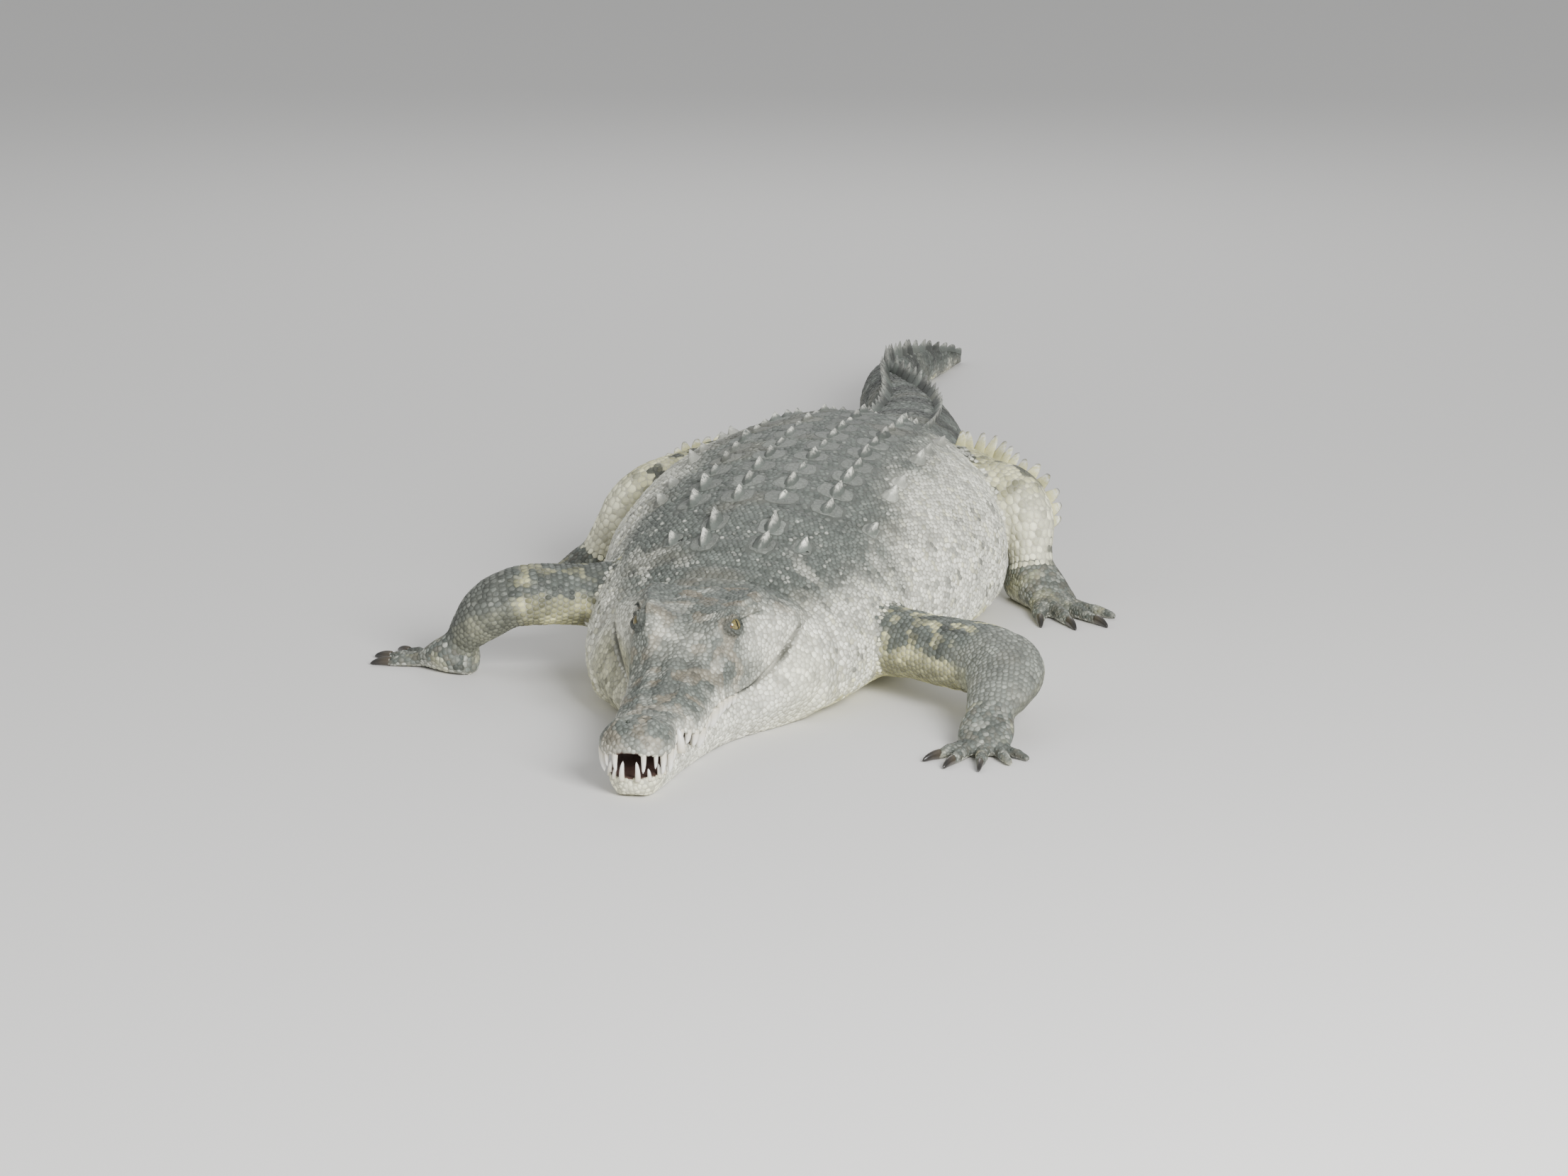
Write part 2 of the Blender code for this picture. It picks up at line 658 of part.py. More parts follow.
def claw(name, joints, side, digit, reach):
    """A curved claw that starts just beyond the end of its digit and comes down to the floor."""
    spread, aside, length, radius = digit
    last = digit_rings(joints, side, digit, reach)[-1]
    ahead = digit_frame(joints, side, spread)
    start = sum(last, Vector()) / len(last) + ahead * PARTING
    beside = Vector((-ahead.y, ahead.x, 0.0))
    rings = []
    for share, size in ((0.0, 0.50), (0.5, 0.40), (1.0, 0.08)):
        centre = start + ahead * CLAW_LENGTH * share
        centre.z = max(radius * size, start.z * (1 - share**2) + 0.002 + 0.006 * math.sin(math.pi * share))
        turns = [2 * math.pi * (i + 0.5) / 5 for i in range(5)]
        wide, high = beside * 0.8 * radius * size, Vector((0, 0, radius * size))
        rings.append([centre + wide * math.cos(a) + high * math.sin(a) for a in turns])
    loft(name, rings, "claw")


def add_web(shape, joints, side, first, second, reach, share):
    """A thin web between two digits."""
    corners = []
    for digit, at in ((first, 0.0), (first, share), (second, share), (second, 0.0)):
        rings = digit_rings(joints, side, digit, reach)
        a = sum(rings[0], Vector()) / DIGIT_SIDES
        b = sum(rings[-1], Vector()) / DIGIT_SIDES
        corners.append(a.lerp(b, at))
    middle = (corners[1] + corners[2]) / 2
    notch = middle.lerp((corners[0] + corners[3]) / 2, 0.18)
    outline = [corners[0], corners[1], notch, corners[2], corners[3]]
    heights = (WEB_UNDERSIDE, WEB_UNDERSIDE + WEB_THICKNESS)
    rings = [[Vector((p.x, p.y, z)) for p in outline] for z in heights]
    add_loft(shape, rings)


def extremity(name, joints, side, pad, digits, reach, claw_name, web_share=0.0):
    foot = loft(name, foot_pad(joints, pad))
    for number, digit in enumerate(digits):
        shape = bmesh.new()
        add_loft(shape, digit_rings(joints, side, digit, reach))
        combine(foot, make_object(f"{name} digit {number}", shape, "hide"), "UNION")
        if number < CLAWED_DIGITS:
            claw(f"{claw_name}_{number + 1}", joints, side, digit, reach)
    for number, (first, second) in enumerate(zip(digits, digits[1:]) if web_share else ()):
        shape = bmesh.new()
        add_web(shape, joints, side, first, second, reach, web_share)
        combine(foot, make_object(f"{name} web {number}", shape, "hide"), "UNION")
    combine(foot, bpy.data.objects["floor shape"], "DIFFERENCE")
    return foot


def leg_fringe(joints, side, on_thigh):
    """Flat pointed scales along the rear edge of the leg, over the knee and down the shank."""
    shape = bmesh.new()
    points, ahead, normal = limb_path(joints, FRINGE_SHARES)
    half_length = 0.4 * (points[1] - points[0]).length
    for share, point, way in zip(FRINGE_SHARES, points, ahead):
        if (share < KNEE_SHARE) != on_thigh:
            continue
        across, flat = (float(smooth_through([(r[0], r[k]) for r in LEG_RADII], share)) for k in (1, 2))
        done = (share - FRINGE_SHARES[0]) / (FRINGE_SHARES[-1] - FRINGE_SHARES[0])
        lift = 0.66 - 0.46 * done
        fall = math.sqrt(1.0 - lift * lift)
        outer = way.cross(normal).normalized()
        rear = (normal * side * fall + outer * lift).normalized()
        root = point + normal * side * fall * (across - 0.012) + outer * lift * (flat - 0.012)
        size = FRINGE_LENGTH * (1.0 - 0.5 * abs(done - 0.35)) + 0.010
        tip = root + rear * size - way * 0.15 * size
        flatwise = rear.cross(way).normalized() * 0.0035
        half = way * half_length
        base = [root - half - flatwise, root - half + flatwise]
        base += [root + half + flatwise, root + half - flatwise]
        corners = [shape.verts.new(p) for p in (*base, tip - flatwise * 0.3, tip + flatwise * 0.3)]
        a, b, c, d, e, f = corners
        for face in ((a, b, c, d), (a, e, f, b), (b, f, c), (c, f, e, d), (d, e, a)):
            shape.faces.new(face)
    return make_object("fringe", shape, "hide")


def build_limbs():
    trunk = trunk_cutter()
    floor_cutter()
    for name, side in (("left", 1), ("right", -1)):
        joints = FORE_LIMBS[name]
        upper = loft(f"upper_arm_{name}", limb_rings(joints, ARM_RADII, 0.0, ELBOW_SHARE, 6))
        combine(upper, trunk, "DIFFERENCE")
        forearm = loft(f"forearm_{name}", limb_rings(joints, ARM_RADII, ELBOW_SHARE, 1.0, 5))
        combine(forearm, loft(f"{name} palm shape", foot_pad(joints, PALM, PARTING / 2)), "DIFFERENCE")
        extremity(f"hand_{name}", joints, side, PALM, FINGERS, 0.055, f"claw_{name}_finger")
        joints = HIND_LIMBS[name]
        thigh = loft(f"thigh_{name}", limb_rings(joints, LEG_RADII, 0.0, KNEE_SHARE, 6))
        combine(thigh, trunk, "DIFFERENCE")
        combine(thigh, leg_fringe(joints, side, True), "UNION")
        shank = loft(f"shank_{name}", limb_rings(joints, LEG_RADII, KNEE_SHARE, 1.0, 5))
        combine(shank, leg_fringe(joints, side, False), "UNION")
        combine(shank, trunk, "DIFFERENCE")
        combine(shank, loft(f"{name} sole shape", foot_pad(joints, SOLE, PARTING / 2)), "DIFFERENCE")
        extremity(f"foot_{name}", joints, side, SOLE, TOES, 0.075, f"claw_{name}_toe", 0.60)


def centre_on_floor():
    """Moves everything so that the origin is under the middle of the whole animal."""
    depsgraph = bpy.context.evaluated_depsgraph_get()
    corners = []
    for obj in bpy.data.objects:
        if not obj.hide_render:
            corners += [Vector(corner) for corner in obj.evaluated_get(depsgraph).bound_box]
    middle = [(min(c[i] for c in corners) + max(c[i] for c in corners)) / 2 for i in (0, 1)]
    print("moved by", [round(-value, 4) for value in middle])
    for obj in bpy.data.objects:
        obj.data.transform(Matrix.Translation((-middle[0], -middle[1], 0.0)))


def main():
    for obj in list(bpy.data.objects):
        bpy.data.objects.remove(obj)
    build_body()
    build_head()
    build_limbs()
    centre_on_floor()


main()
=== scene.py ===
# %% [markdown]
# # A saltwater crocodile at rest, as a life-size museum model
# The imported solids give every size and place. This script dresses them: one skin over all the flesh,
# a coat of fitted scales, keeled shields, eyes, teeth and claws, and then a floor, light and a camera.
# A stray object in the file would count as part of the animal, so everything is cleared first.

# %% Load the frame
import bpy
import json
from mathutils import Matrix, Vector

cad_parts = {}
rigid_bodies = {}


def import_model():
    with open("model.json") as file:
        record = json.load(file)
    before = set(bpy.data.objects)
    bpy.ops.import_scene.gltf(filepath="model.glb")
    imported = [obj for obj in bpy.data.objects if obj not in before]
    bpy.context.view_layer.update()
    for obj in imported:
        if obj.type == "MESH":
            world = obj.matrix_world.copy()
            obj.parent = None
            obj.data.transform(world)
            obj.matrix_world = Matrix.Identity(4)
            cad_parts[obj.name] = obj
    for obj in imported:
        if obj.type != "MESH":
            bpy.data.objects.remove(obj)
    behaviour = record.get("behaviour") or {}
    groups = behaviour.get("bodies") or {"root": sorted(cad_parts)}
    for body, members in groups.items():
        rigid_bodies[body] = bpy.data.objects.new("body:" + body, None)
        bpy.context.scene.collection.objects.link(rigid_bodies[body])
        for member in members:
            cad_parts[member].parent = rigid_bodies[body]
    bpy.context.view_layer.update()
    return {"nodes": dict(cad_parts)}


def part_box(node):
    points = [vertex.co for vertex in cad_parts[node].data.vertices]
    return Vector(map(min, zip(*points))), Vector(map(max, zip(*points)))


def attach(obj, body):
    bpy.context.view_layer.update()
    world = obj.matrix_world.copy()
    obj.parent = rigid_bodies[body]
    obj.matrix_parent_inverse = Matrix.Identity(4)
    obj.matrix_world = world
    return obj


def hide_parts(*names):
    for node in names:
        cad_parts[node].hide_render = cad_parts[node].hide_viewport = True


for stray in list(bpy.data.objects):
    bpy.data.objects.remove(stray)
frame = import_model()

# %% Tools and the shared starting point
import json
import math
import time

import bmesh
import numpy as np
from mathutils import Matrix, Vector, kdtree, noise
from mathutils.bvhtree import BVHTree

STARTED = time.time()
HEAD_LOW, HEAD_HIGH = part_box("head")
# Shapes are worked out with the snout tip at the origin, and moved to the head's place at the end.
SNOUT_TIP = np.array(((HEAD_LOW.x + HEAD_HIGH.x) / 2, HEAD_LOW.y, 0.0))
rng = np.random.default_rng(7)


def timed(*words):
    """Prints the words and the time so far."""
    print(*words, round(time.time() - STARTED, 1), "s")


print("snout tip at", SNOUT_TIP.round(4))

# %% [markdown]
# The solids are lofts: sections set along a line, with a smooth curve through a few given values.
# The skin has to follow them closely, so the same values are used again here, at a much finer step.
# The curve is a monotone cubic, which never swings past the values that it goes through.

# %% Lengths along the animal, in metres
HEAD_LENGTH = 0.535
NECK_END = 0.83
SCUTE_PITCH = 0.068
BACK_ROWS = 15
TRUNK_END = NECK_END + BACK_ROWS * SCUTE_PITCH
WHORL_PITCH = 0.054
TAIL_WHORLS = 36
TOTAL_LENGTH = TRUNK_END + TAIL_WHORLS * WHORL_PITCH
COAT_DEPTH = 0.0016  # how far the bare skin lies under the solids' surface


def smooth_through(points, places):
    """A curve through (place, value) points that never overshoots them, read at the given places."""
    x, y = np.array(points, float).T
    step = np.diff(x)
    slope = np.diff(y) / step
    tangent = np.concatenate([[slope[0]], np.zeros(len(x) - 2), [slope[-1]]])
    for i in range(1, len(x) - 1):
        if slope[i - 1] * slope[i] > 0:
            before, after = 2 * step[i] + step[i - 1], step[i] + 2 * step[i - 1]
            tangent[i] = (before + after) / (before / slope[i - 1] + after / slope[i])
    places = np.clip(np.asarray(places, float), x[0], x[-1])
    i = np.clip(np.searchsorted(x, places, side="right") - 1, 0, len(step) - 1)
    t = (places - x[i]) / step[i]
    return (
        y[i] * (1 + 2 * t) * (1 - t) ** 2
        + tangent[i] * step[i] * t * (1 - t) ** 2
        + y[i + 1] * t * t * (3 - 2 * t)
        + tangent[i + 1] * step[i] * t * t * (t - 1)
    )


def ease(low, high, value):
    """0 below low, 1 above high, and a smooth step between."""
    t = np.clip((value - low) / (high - low), 0.0, 1.0)
    return t * t * (3 - 2 * t)


def fade(low, high, value):
    """1 below low, 0 above high."""
    return 1 - ease(low, high, value)


def window(value, rise, fall):
    """1 between two steps, each given as its start and end, and 0 outside them."""
    return ease(*rise, value) * fade(*fall, value)


def bump(value, centre, spread):
    """A soft hill, 1 at the centre."""
    return np.exp(-(((value - centre) / spread) ** 2))


def curve_of(rows, column, places):
    """The smooth curve of one column of a table whose first column is the place."""
    return smooth_through([(row[0], row[column]) for row in rows], places)


def unit(vector):
    return np.array(vector) / np.linalg.norm(vector)


def running(steps):
    """The sum of the steps so far, from 0."""
    return np.concatenate([[0], np.cumsum(steps)])


def distance_along(path):
    """For each point of a path, how far it is from the start."""
    return running(np.linalg.norm(np.diff(path, axis=0), axis=1))


def full_turn(count):
    """Angles of one whole turn, without its end."""
    return np.linspace(0, 2 * math.pi, count, endpoint=False)


print("whole length along the line", round(TOTAL_LENGTH, 3))

# %% [markdown]
# The trunk and the tail follow one line that bends only in plan. Every place on them has three
# numbers: how far along the line, how far out to the left, and how high. Both ways of reading them
# are needed: from numbers to a point, to make the shape, and from a point back to numbers, to paint
# it and to lay the scales in rows.

# %% The body's line and sections
BENDS = ((0.52, 0.85, 2.0), (0.95, 1.75, -3.0), (1.85, 2.70, -17.0), (2.60, 3.75, 26.0))
BODY_SECTIONS = (  # along, half width, height of the back, height of the widest line
    (0.535, 0.196, 0.206, 0.068),
    (0.590, 0.219, 0.221, 0.076),
    (0.700, 0.243, 0.252, 0.088),
    (0.850, 0.272, 0.288, 0.100),
    (1.050, 0.312, 0.318, 0.114),
    (1.250, 0.328, 0.330, 0.120),
    (1.450, 0.286, 0.322, 0.122),
    (1.620, 0.236, 0.286, 0.122),
    (1.750, 0.192, 0.252, 0.118),
    (1.900, 0.158, 0.226, 0.110),
    (2.100, 0.126, 0.208, 0.100),
    (2.400, 0.095, 0.184, 0.088),
    (2.700, 0.070, 0.160, 0.076),
    (3.000, 0.049, 0.132, 0.063),
    (3.300, 0.032, 0.100, 0.048),
    (3.600, 0.017, 0.064, 0.031),
    (3.794, 0.006, 0.026, 0.014),
)
BELLY_SQUARENESS = ((0.535, 3.2), (1.25, 3.6), (1.75, 3.0), (2.1, 2.4), (3.794, 2.0))
FLOOR_SINK = 0.006
STEPS = np.linspace(0.0, TOTAL_LENGTH, 761)
TURNS = sum(math.radians(degrees) * ease(start, end, STEPS) for start, end, degrees in BENDS)
LINE_X, LINE_Y = (running(share(TURNS[:-1]) * np.diff(STEPS)) for share in (np.sin, np.cos))


def body_column(column, along):
    return curve_of(BODY_SECTIONS, column, along)


def on_body(along, out, height):
    """Points at a distance along the body, out to the animal's left, at a height."""
    turn = np.interp(along, STEPS, TURNS)
    x = np.interp(along, STEPS, LINE_X) + out * np.cos(turn)
    y = np.interp(along, STEPS, LINE_Y) - out * np.sin(turn)
    return np.stack(np.broadcast_arrays(x, y, height), axis=-1)


def body_skin(along, angle):
    """Points of the body: angle 0 is the left flank, a quarter turn is the middle of the back."""
    along, angle = np.broadcast_arrays(np.asarray(along, float), np.asarray(angle, float))
    half, back, widest = (body_column(column, along) for column in (1, 2, 3))
    across, up = np.cos(angle), np.sin(angle)
    power = 2.0 / smooth_through(BELLY_SQUARENESS, along)
    under_out = half * np.copysign(np.abs(across) ** power, across)
    under_height = np.maximum(0.0, widest - (widest + FLOOR_SINK) * np.abs(up) ** power)
    out = np.where(up >= 0, half * across, under_out)
    return on_body(along, out, np.where(up >= 0, widest + (back - widest) * up, under_height))


def body_numbers(points):
    """(along, out, height) of points on or near the trunk and tail."""

    def across_line(along):
        turn = np.interp(along, STEPS, TURNS)
        dx = points[:, 0] - np.interp(along, STEPS, LINE_X)
        dy = points[:, 1] - np.interp(along, STEPS, LINE_Y)
        return turn, dx, dy

    along = np.interp(points[:, 1], LINE_Y, STEPS)
    for _ in range(3):
        turn, dx, dy = across_line(along)
        along = np.clip(along + dx * np.sin(turn) + dy * np.cos(turn), 0.0, TOTAL_LENGTH)
    turn, dx, dy = across_line(along)
    return along, dx * np.cos(turn) - dy * np.sin(turn), points[:, 2]


print("widest", round(2 * float(body_column(1, 1.25)), 3), "m at 1.25 m from the snout tip")

# %% [markdown]
# The head is drawn as a sculptor would: a lip line, a cheek line, a brow line and the crown, and for
# the lower jaw a jowl line and a flat underside. The mouth hangs a little open at the front and the
# two jaws come together towards the corner.

# %% The lines of the head
LIP = (  # along, out, height, as for the other lines
    (0.000, 0.016, 0.066), (0.010, 0.033, 0.064), (0.028, 0.047, 0.062), (0.055, 0.055, 0.062),
    (0.085, 0.052, 0.066), (0.115, 0.045, 0.074), (0.150, 0.056, 0.066), (0.190, 0.067, 0.058),
    (0.235, 0.066, 0.067), (0.280, 0.071, 0.078), (0.330, 0.081, 0.078), (0.380, 0.096, 0.082),
    (0.430, 0.115, 0.100), (0.475, 0.135, 0.132), (0.515, 0.150, 0.156), (0.535, 0.155, 0.160),
)
CHEEK = (
    (0.000, 0.020, 0.076), (0.028, 0.048, 0.084), (0.055, 0.055, 0.088), (0.115, 0.044, 0.092),
    (0.190, 0.063, 0.090), (0.280, 0.070, 0.105), (0.330, 0.079, 0.120), (0.374, 0.092, 0.146),
    (0.430, 0.114, 0.160), (0.500, 0.142, 0.180), (0.535, 0.150, 0.182),
)
BROW = (
    (0.000, 0.014, 0.087), (0.025, 0.030, 0.106), (0.050, 0.034, 0.112), (0.090, 0.028, 0.104),
    (0.130, 0.029, 0.104), (0.200, 0.036, 0.112), (0.280, 0.042, 0.130), (0.330, 0.053, 0.160),
    (0.358, 0.062, 0.204), (0.385, 0.066, 0.214), (0.415, 0.072, 0.210), (0.450, 0.082, 0.212),
    (0.500, 0.088, 0.214), (0.535, 0.090, 0.206),
)
CROWN = (
    (0.000, 0.0, 0.089), (0.020, 0.0, 0.107), (0.042, 0.0, 0.116), (0.065, 0.0, 0.116),
    (0.090, 0.0, 0.106), (0.130, 0.0, 0.107), (0.200, 0.0, 0.119), (0.260, 0.0, 0.136),
    (0.310, 0.0, 0.150), (0.350, 0.0, 0.172), (0.380, 0.0, 0.187), (0.420, 0.0, 0.203),
    (0.500, 0.0, 0.211), (0.535, 0.0, 0.206),
)
GAPE = (  # the lips are made one behind the open front, and parted there by a groove
    (0.0, 0.029), (0.05, 0.025), (0.115, 0.016), (0.19, 0.009), (0.285, 0.006), (0.32, -0.003),
    (0.515, -0.001),
)
JAW_FRONT = 0.012
HEAD_END = HEAD_LENGTH + 0.012  # where the head's lofts end, inside the neck
OPEN_TO = 0.33  # the open front of the mouth reaches this far back
JAW_LIP_SHARE = (
    (0.012, 0.45), (0.030, 0.76), (0.08, 0.82), (0.112, 1.13), (0.145, 0.82), (0.35, 0.82),
    (0.44, 1.0), (0.535, 1.0),
)
JOWL = (
    (0.012, 0.018, 0.024), (0.030, 0.036, 0.019), (0.060, 0.042, 0.020), (0.112, 0.046, 0.024),
    (0.190, 0.053, 0.027), (0.280, 0.062, 0.032), (0.350, 0.086, 0.040), (0.430, 0.140, 0.052),
    (0.480, 0.170, 0.060), (0.535, 0.196, 0.068),
)
JAW_UNDERSIDE = (
    (0.012, 0.010, 0.010), (0.024, 0.020, 0.002), (0.036, 0.026, 0.000), (0.200, 0.040, 0.000),
    (0.350, 0.064, 0.000), (0.450, 0.108, 0.000), (0.535, 0.158, 0.000),
)


def line_at(line, along):
    """(out, height) of one of the head's lines, as an array with a row for each place along."""
    return np.stack([curve_of(line, column, along) for column in (1, 2)], axis=-1)


def curve_through(controls, per_span):
    """Points of a smooth curve through a list of controls, ends included; each may be an array."""
    ends = [2 * controls[0] - controls[1], *controls, 2 * controls[-1] - controls[-2]]
    points = []
    for i in range(1, len(ends) - 2):
        for t in np.arange(per_span) / per_span:
            a, b, c, d = ends[i - 1 : i + 3]
            square, cube = 2 * a - 5 * b + 4 * c - d, 3 * b - a - 3 * c + d
            points.append(0.5 * (2 * b + (c - a) * t + square * t * t + cube * t**3))
    return [*points, controls[-1]]


def both_sides(half, along):
    """Closed rings from half sections: a list of (stations, 2) arrays, from middle to middle."""
    half = np.stack(half, axis=1)
    mirrored = half[:, -2:0:-1] * np.array((-1.0, 1.0))
    ring = np.concatenate([half, mirrored], axis=1)
    places = np.broadcast_to(along[:, None], ring.shape[:2])
    return np.stack([ring[..., 0], places, ring[..., 1]], axis=-1)


MIDDLE = np.array((0.0, 1.0))  # keeps a height and puts it in the middle plane


def upper_rings(along):
    lip, cheek, brow, crown = (line_at(line, along) for line in (LIP, CHEEK, BROW, CROWN))
    palate = lip * MIDDLE + (0.0, 0.004)
    side = curve_through([lip, cheek, brow], 9)
    rise = 0.12 * (crown - brow) * MIDDLE
    top = curve_through([brow, 0.5 * (brow + crown) + rise, crown * MIDDLE], 5)[1:]
    return both_sides([palate, lip * (0.72, 1.0) + (0.0, 0.004), *side, *top], along)


def lower_rings(along):
    gape = smooth_through(GAPE, along)[:, None] * MIDDLE
    share = smooth_through(JAW_LIP_SHARE, along)[:, None]
    lip = line_at(LIP, along) * np.concatenate([share, np.ones_like(share)], axis=1) - gape
    jowl, under = line_at(JOWL, along), line_at(JAW_UNDERSIDE, along)
    floor_of_mouth = lip - (0.0, 0.003)
    side = curve_through([lip, jowl, under], 9)
    inner = [floor_of_mouth * MIDDLE, floor_of_mouth * (0.7, 1.0)]
    return both_sides([*inner, *side, under * MIDDLE], along)


print("lip width at the nose", round(2000 * float(line_at(LIP, 0.055)[0])), "mm")

# %% [markdown]
# A limb is a tube through its root, bend and end, and its hand or foot is a flat pad with digits. The
# tubes start inside the trunk, so that the skin can flow over the joint instead of meeting it.

# %% Limbs, hands and feet
LIMBS = {
    "fore_left": {
        "root": (0.16, 0.79, 0.086), "bend": (0.474, 0.600, 0.090), "end": (0.460, 0.445, 0.044),
        "girth": 1.1, "heading": 4.0, "side": 1,
    },
    "fore_right": {
        "root": (-0.16, 0.80, 0.128), "bend": (-0.385, 0.700, 0.142), "end": (-0.472, 0.735, 0.046),
        "girth": 0.74, "heading": -128.0, "side": -1,
    },
    "hind_left": {
        "root": (0.06, 1.64, 0.140), "bend": (0.336, 1.480, 0.190), "end": (0.362, 1.436, 0.058),
        "girth": 1.0, "heading": 36.0, "side": 1,
    },
    "hind_right": {
        "root": (-0.07, 1.64, 0.140), "bend": (-0.308, 1.385, 0.194), "end": (-0.400, 1.400, 0.058),
        "girth": 1.0, "heading": -52.0, "side": -1,
    },
}
ARM_RADII = (  # share of the way along, across the limb, in its plane
    (0.0, 0.066, 0.074), (0.35, 0.054, 0.055), (0.55, 0.054, 0.060), (0.74, 0.050, 0.060),
    (0.88, 0.038, 0.048), (1.0, 0.028, 0.034),
)
LEG_RADII = (
    (0.0, 0.104, 0.096), (0.42, 0.082, 0.080), (0.62, 0.055, 0.053), (0.75, 0.050, 0.053),
    (0.92, 0.038, 0.044), (1.0, 0.036, 0.040),
)
ELBOW_SHARE = 0.60
PALM = (  # forward from the wrist, half width, height of its top; flesh, so inside the solid's outline
    (-0.034, 0.020, 0.034), (-0.020, 0.033, 0.056), (0.0, 0.042, 0.068), (0.030, 0.044, 0.056),
    (0.060, 0.041, 0.036), (0.082, 0.034, 0.023),
)
SOLE = (
    (-0.058, 0.020, 0.042), (-0.042, 0.036, 0.070), (0.0, 0.045, 0.092), (0.040, 0.046, 0.074),
    (0.075, 0.046, 0.047), (0.105, 0.040, 0.029),
)
FINGERS = (  # spread in degrees, start to one side, length, radius at the root
    (42.0, 0.024, 0.066, 0.0125), (19.0, 0.014, 0.086, 0.0125), (-2.0, 0.000, 0.092, 0.0120),
    (-24.0, -0.014, 0.082, 0.0105), (-48.0, -0.024, 0.066, 0.0095),
)
TOES = (
    (24.0, 0.026, 0.090, 0.0145), (7.0, 0.010, 0.122, 0.0145), (-8.0, -0.008, 0.128, 0.0135),
    (-25.0, -0.024, 0.112, 0.0120),
)
FINGER_START, TOE_START = 0.055, 0.075  # ahead of the wrist or ankle
DIGIT_ROOT = 0.014  # how far a digit begins inside its pad
WEB_HEIGHT = 0.0085
CLAWED_DIGITS = 3
CLAW_LENGTH = 0.030


def is_hind(name):
    return name.startswith("hind")


def limb_line(joints, shares):
    """Points, directions and the side axis of a limb whose bend is rounded."""
    root, bend, end = (np.array(joints[key]) for key in ("root", "bend", "end"))
    upper, lower = np.linalg.norm(bend - root), np.linalg.norm(end - bend)
    round_off = 0.49 * min(upper, lower)
    before = bend + (root - bend) / upper * round_off
    after = bend + (end - bend) / lower * round_off
    t = (np.arange(8) / 8)[:, None]
    arc = before * (1 - t) ** 2 + bend * 2 * t * (1 - t) + after * t * t
    last = (np.arange(9) / 8)[:, None]
    path = np.concatenate([root + (before - root) * t, arc, after + (end - after) * last])
    lengths = distance_along(path)
    lengths /= lengths[-1]

    def place(share):
        return np.stack([np.interp(share, lengths, path[:, i]) for i in range(3)], axis=-1)

    ahead = place(shares + 0.01) - place(shares - 0.01)
    ahead /= np.linalg.norm(ahead, axis=1, keepdims=True)
    side = np.cross(bend - root, end - bend)
    return place(shares), ahead, unit(side)


def limb_surface(name, shares, angles):
    """Points of a limb's tube, one row of angles for each share of its length."""
    joints = LIMBS[name]
    radii = LEG_RADII if is_hind(name) else ARM_RADII
    points, ahead, side = limb_line(joints, shares)
    across = curve_of(radii, 1, shares)[:, None, None]
    flat = curve_of(radii, 2, shares)
    flat = (flat * (1 + (joints["girth"] - 1) * np.minimum(1.0, shares / ELBOW_SHARE)))[:, None, None]
    beside = np.cross(ahead, side)[:, None]
    turns = np.asarray(angles)[None, :, None]
    return points[:, None] + side * across * np.sin(turns) + beside * flat * np.cos(turns)


def foot_frame(name, spread=0.0):
    """Forward and inward directions on the floor for a hand or foot, or for one of its digits."""
    joints = LIMBS[name]
    angle = math.radians(joints["heading"] - joints["side"] * spread)
    ahead = np.array((math.sin(angle), -math.cos(angle), 0.0))
    return ahead, np.array((ahead[1], -ahead[0], 0.0)) * joints["side"]


def rings_on_floor(start, ahead, beside, forward, aside, height):
    """Rings of a pad or digit, cut off flat at the floor."""
    rings = start + ahead * forward[..., None] + beside * aside[..., None]
    rings[..., 2] = np.maximum(0.0, height)
    return rings


def pad_rings(name, count=36, sides=40):
    """The palm or sole: flat below, domed above."""
    outline = SOLE if is_hind(name) else PALM
    ahead, inner = foot_frame(name)
    end = np.array(LIMBS[name]["end"]) * (1, 1, 0)
    forward = np.linspace(outline[0][0], outline[-1][0], count)
    half, top = (curve_of(outline, column, forward)[:, None] for column in (1, 2))
    turns = full_turn(sides)[None, :]
    height = top * 0.44 + np.sin(turns) * top * 0.56
    return rings_on_floor(end, ahead, inner, forward[:, None], half * np.cos(turns), height)


def digit_line(name, digit):
    """Start, direction and sideways direction of a digit on the floor."""
    spread, aside, length, radius = digit
    middle, inner = foot_frame(name)
    ahead, beside = foot_frame(name, spread)
    reach = TOE_START if is_hind(name) else FINGER_START
    start = np.array(LIMBS[name]["end"]) * (1, 1, 0) + middle * reach + inner * aside
    return start, ahead, beside


def digit_rings(name, digit, count=26, sides=16):
    """One finger or toe: knuckles swell it twice, and it narrows to the claw."""
    length, radius = digit[2:]
    start, ahead, beside = digit_line(name, digit)
    start = start - ahead * DIGIT_ROOT
    share = np.linspace(0.0, 1.0, count)
    size = smooth_through(((0, 1.0), (0.7, 0.88), (0.95, 0.66), (1.0, 0.5)), share)
    size = size * (1 + 0.09 * bump(share, 0.36, 0.08) + 0.09 * bump(share, 0.68, 0.07))
    turns = full_turn(sides)[None, :]
    size, share = size[:, None], share[:, None]
    height = radius * (0.72 * size + size * np.sin(turns)) + 0.004 * (1 - share)
    aside = radius * size * np.cos(turns)
    return rings_on_floor(start, ahead, beside, (length + DIGIT_ROOT) * share, aside, height)


def digits_of(name):
    return TOES if is_hind(name) else FINGERS


print("digits:", sum(len(digits_of(name)) for name in LIMBS))

# %% [markdown]
# The skin is one closed mesh. All the lofts, each closed and each pushed a little into its neighbour,
# go into one mesh, and a voxel remesh keeps only the outside of their union. That loses nothing here,
# because every fine form is raised on the mesh afterwards. The webs between the toes are thin plates,
# so they are made thicker than two voxels, or the remesh would tear them.

# %% Lofts of the flesh
VOXEL = 0.0034


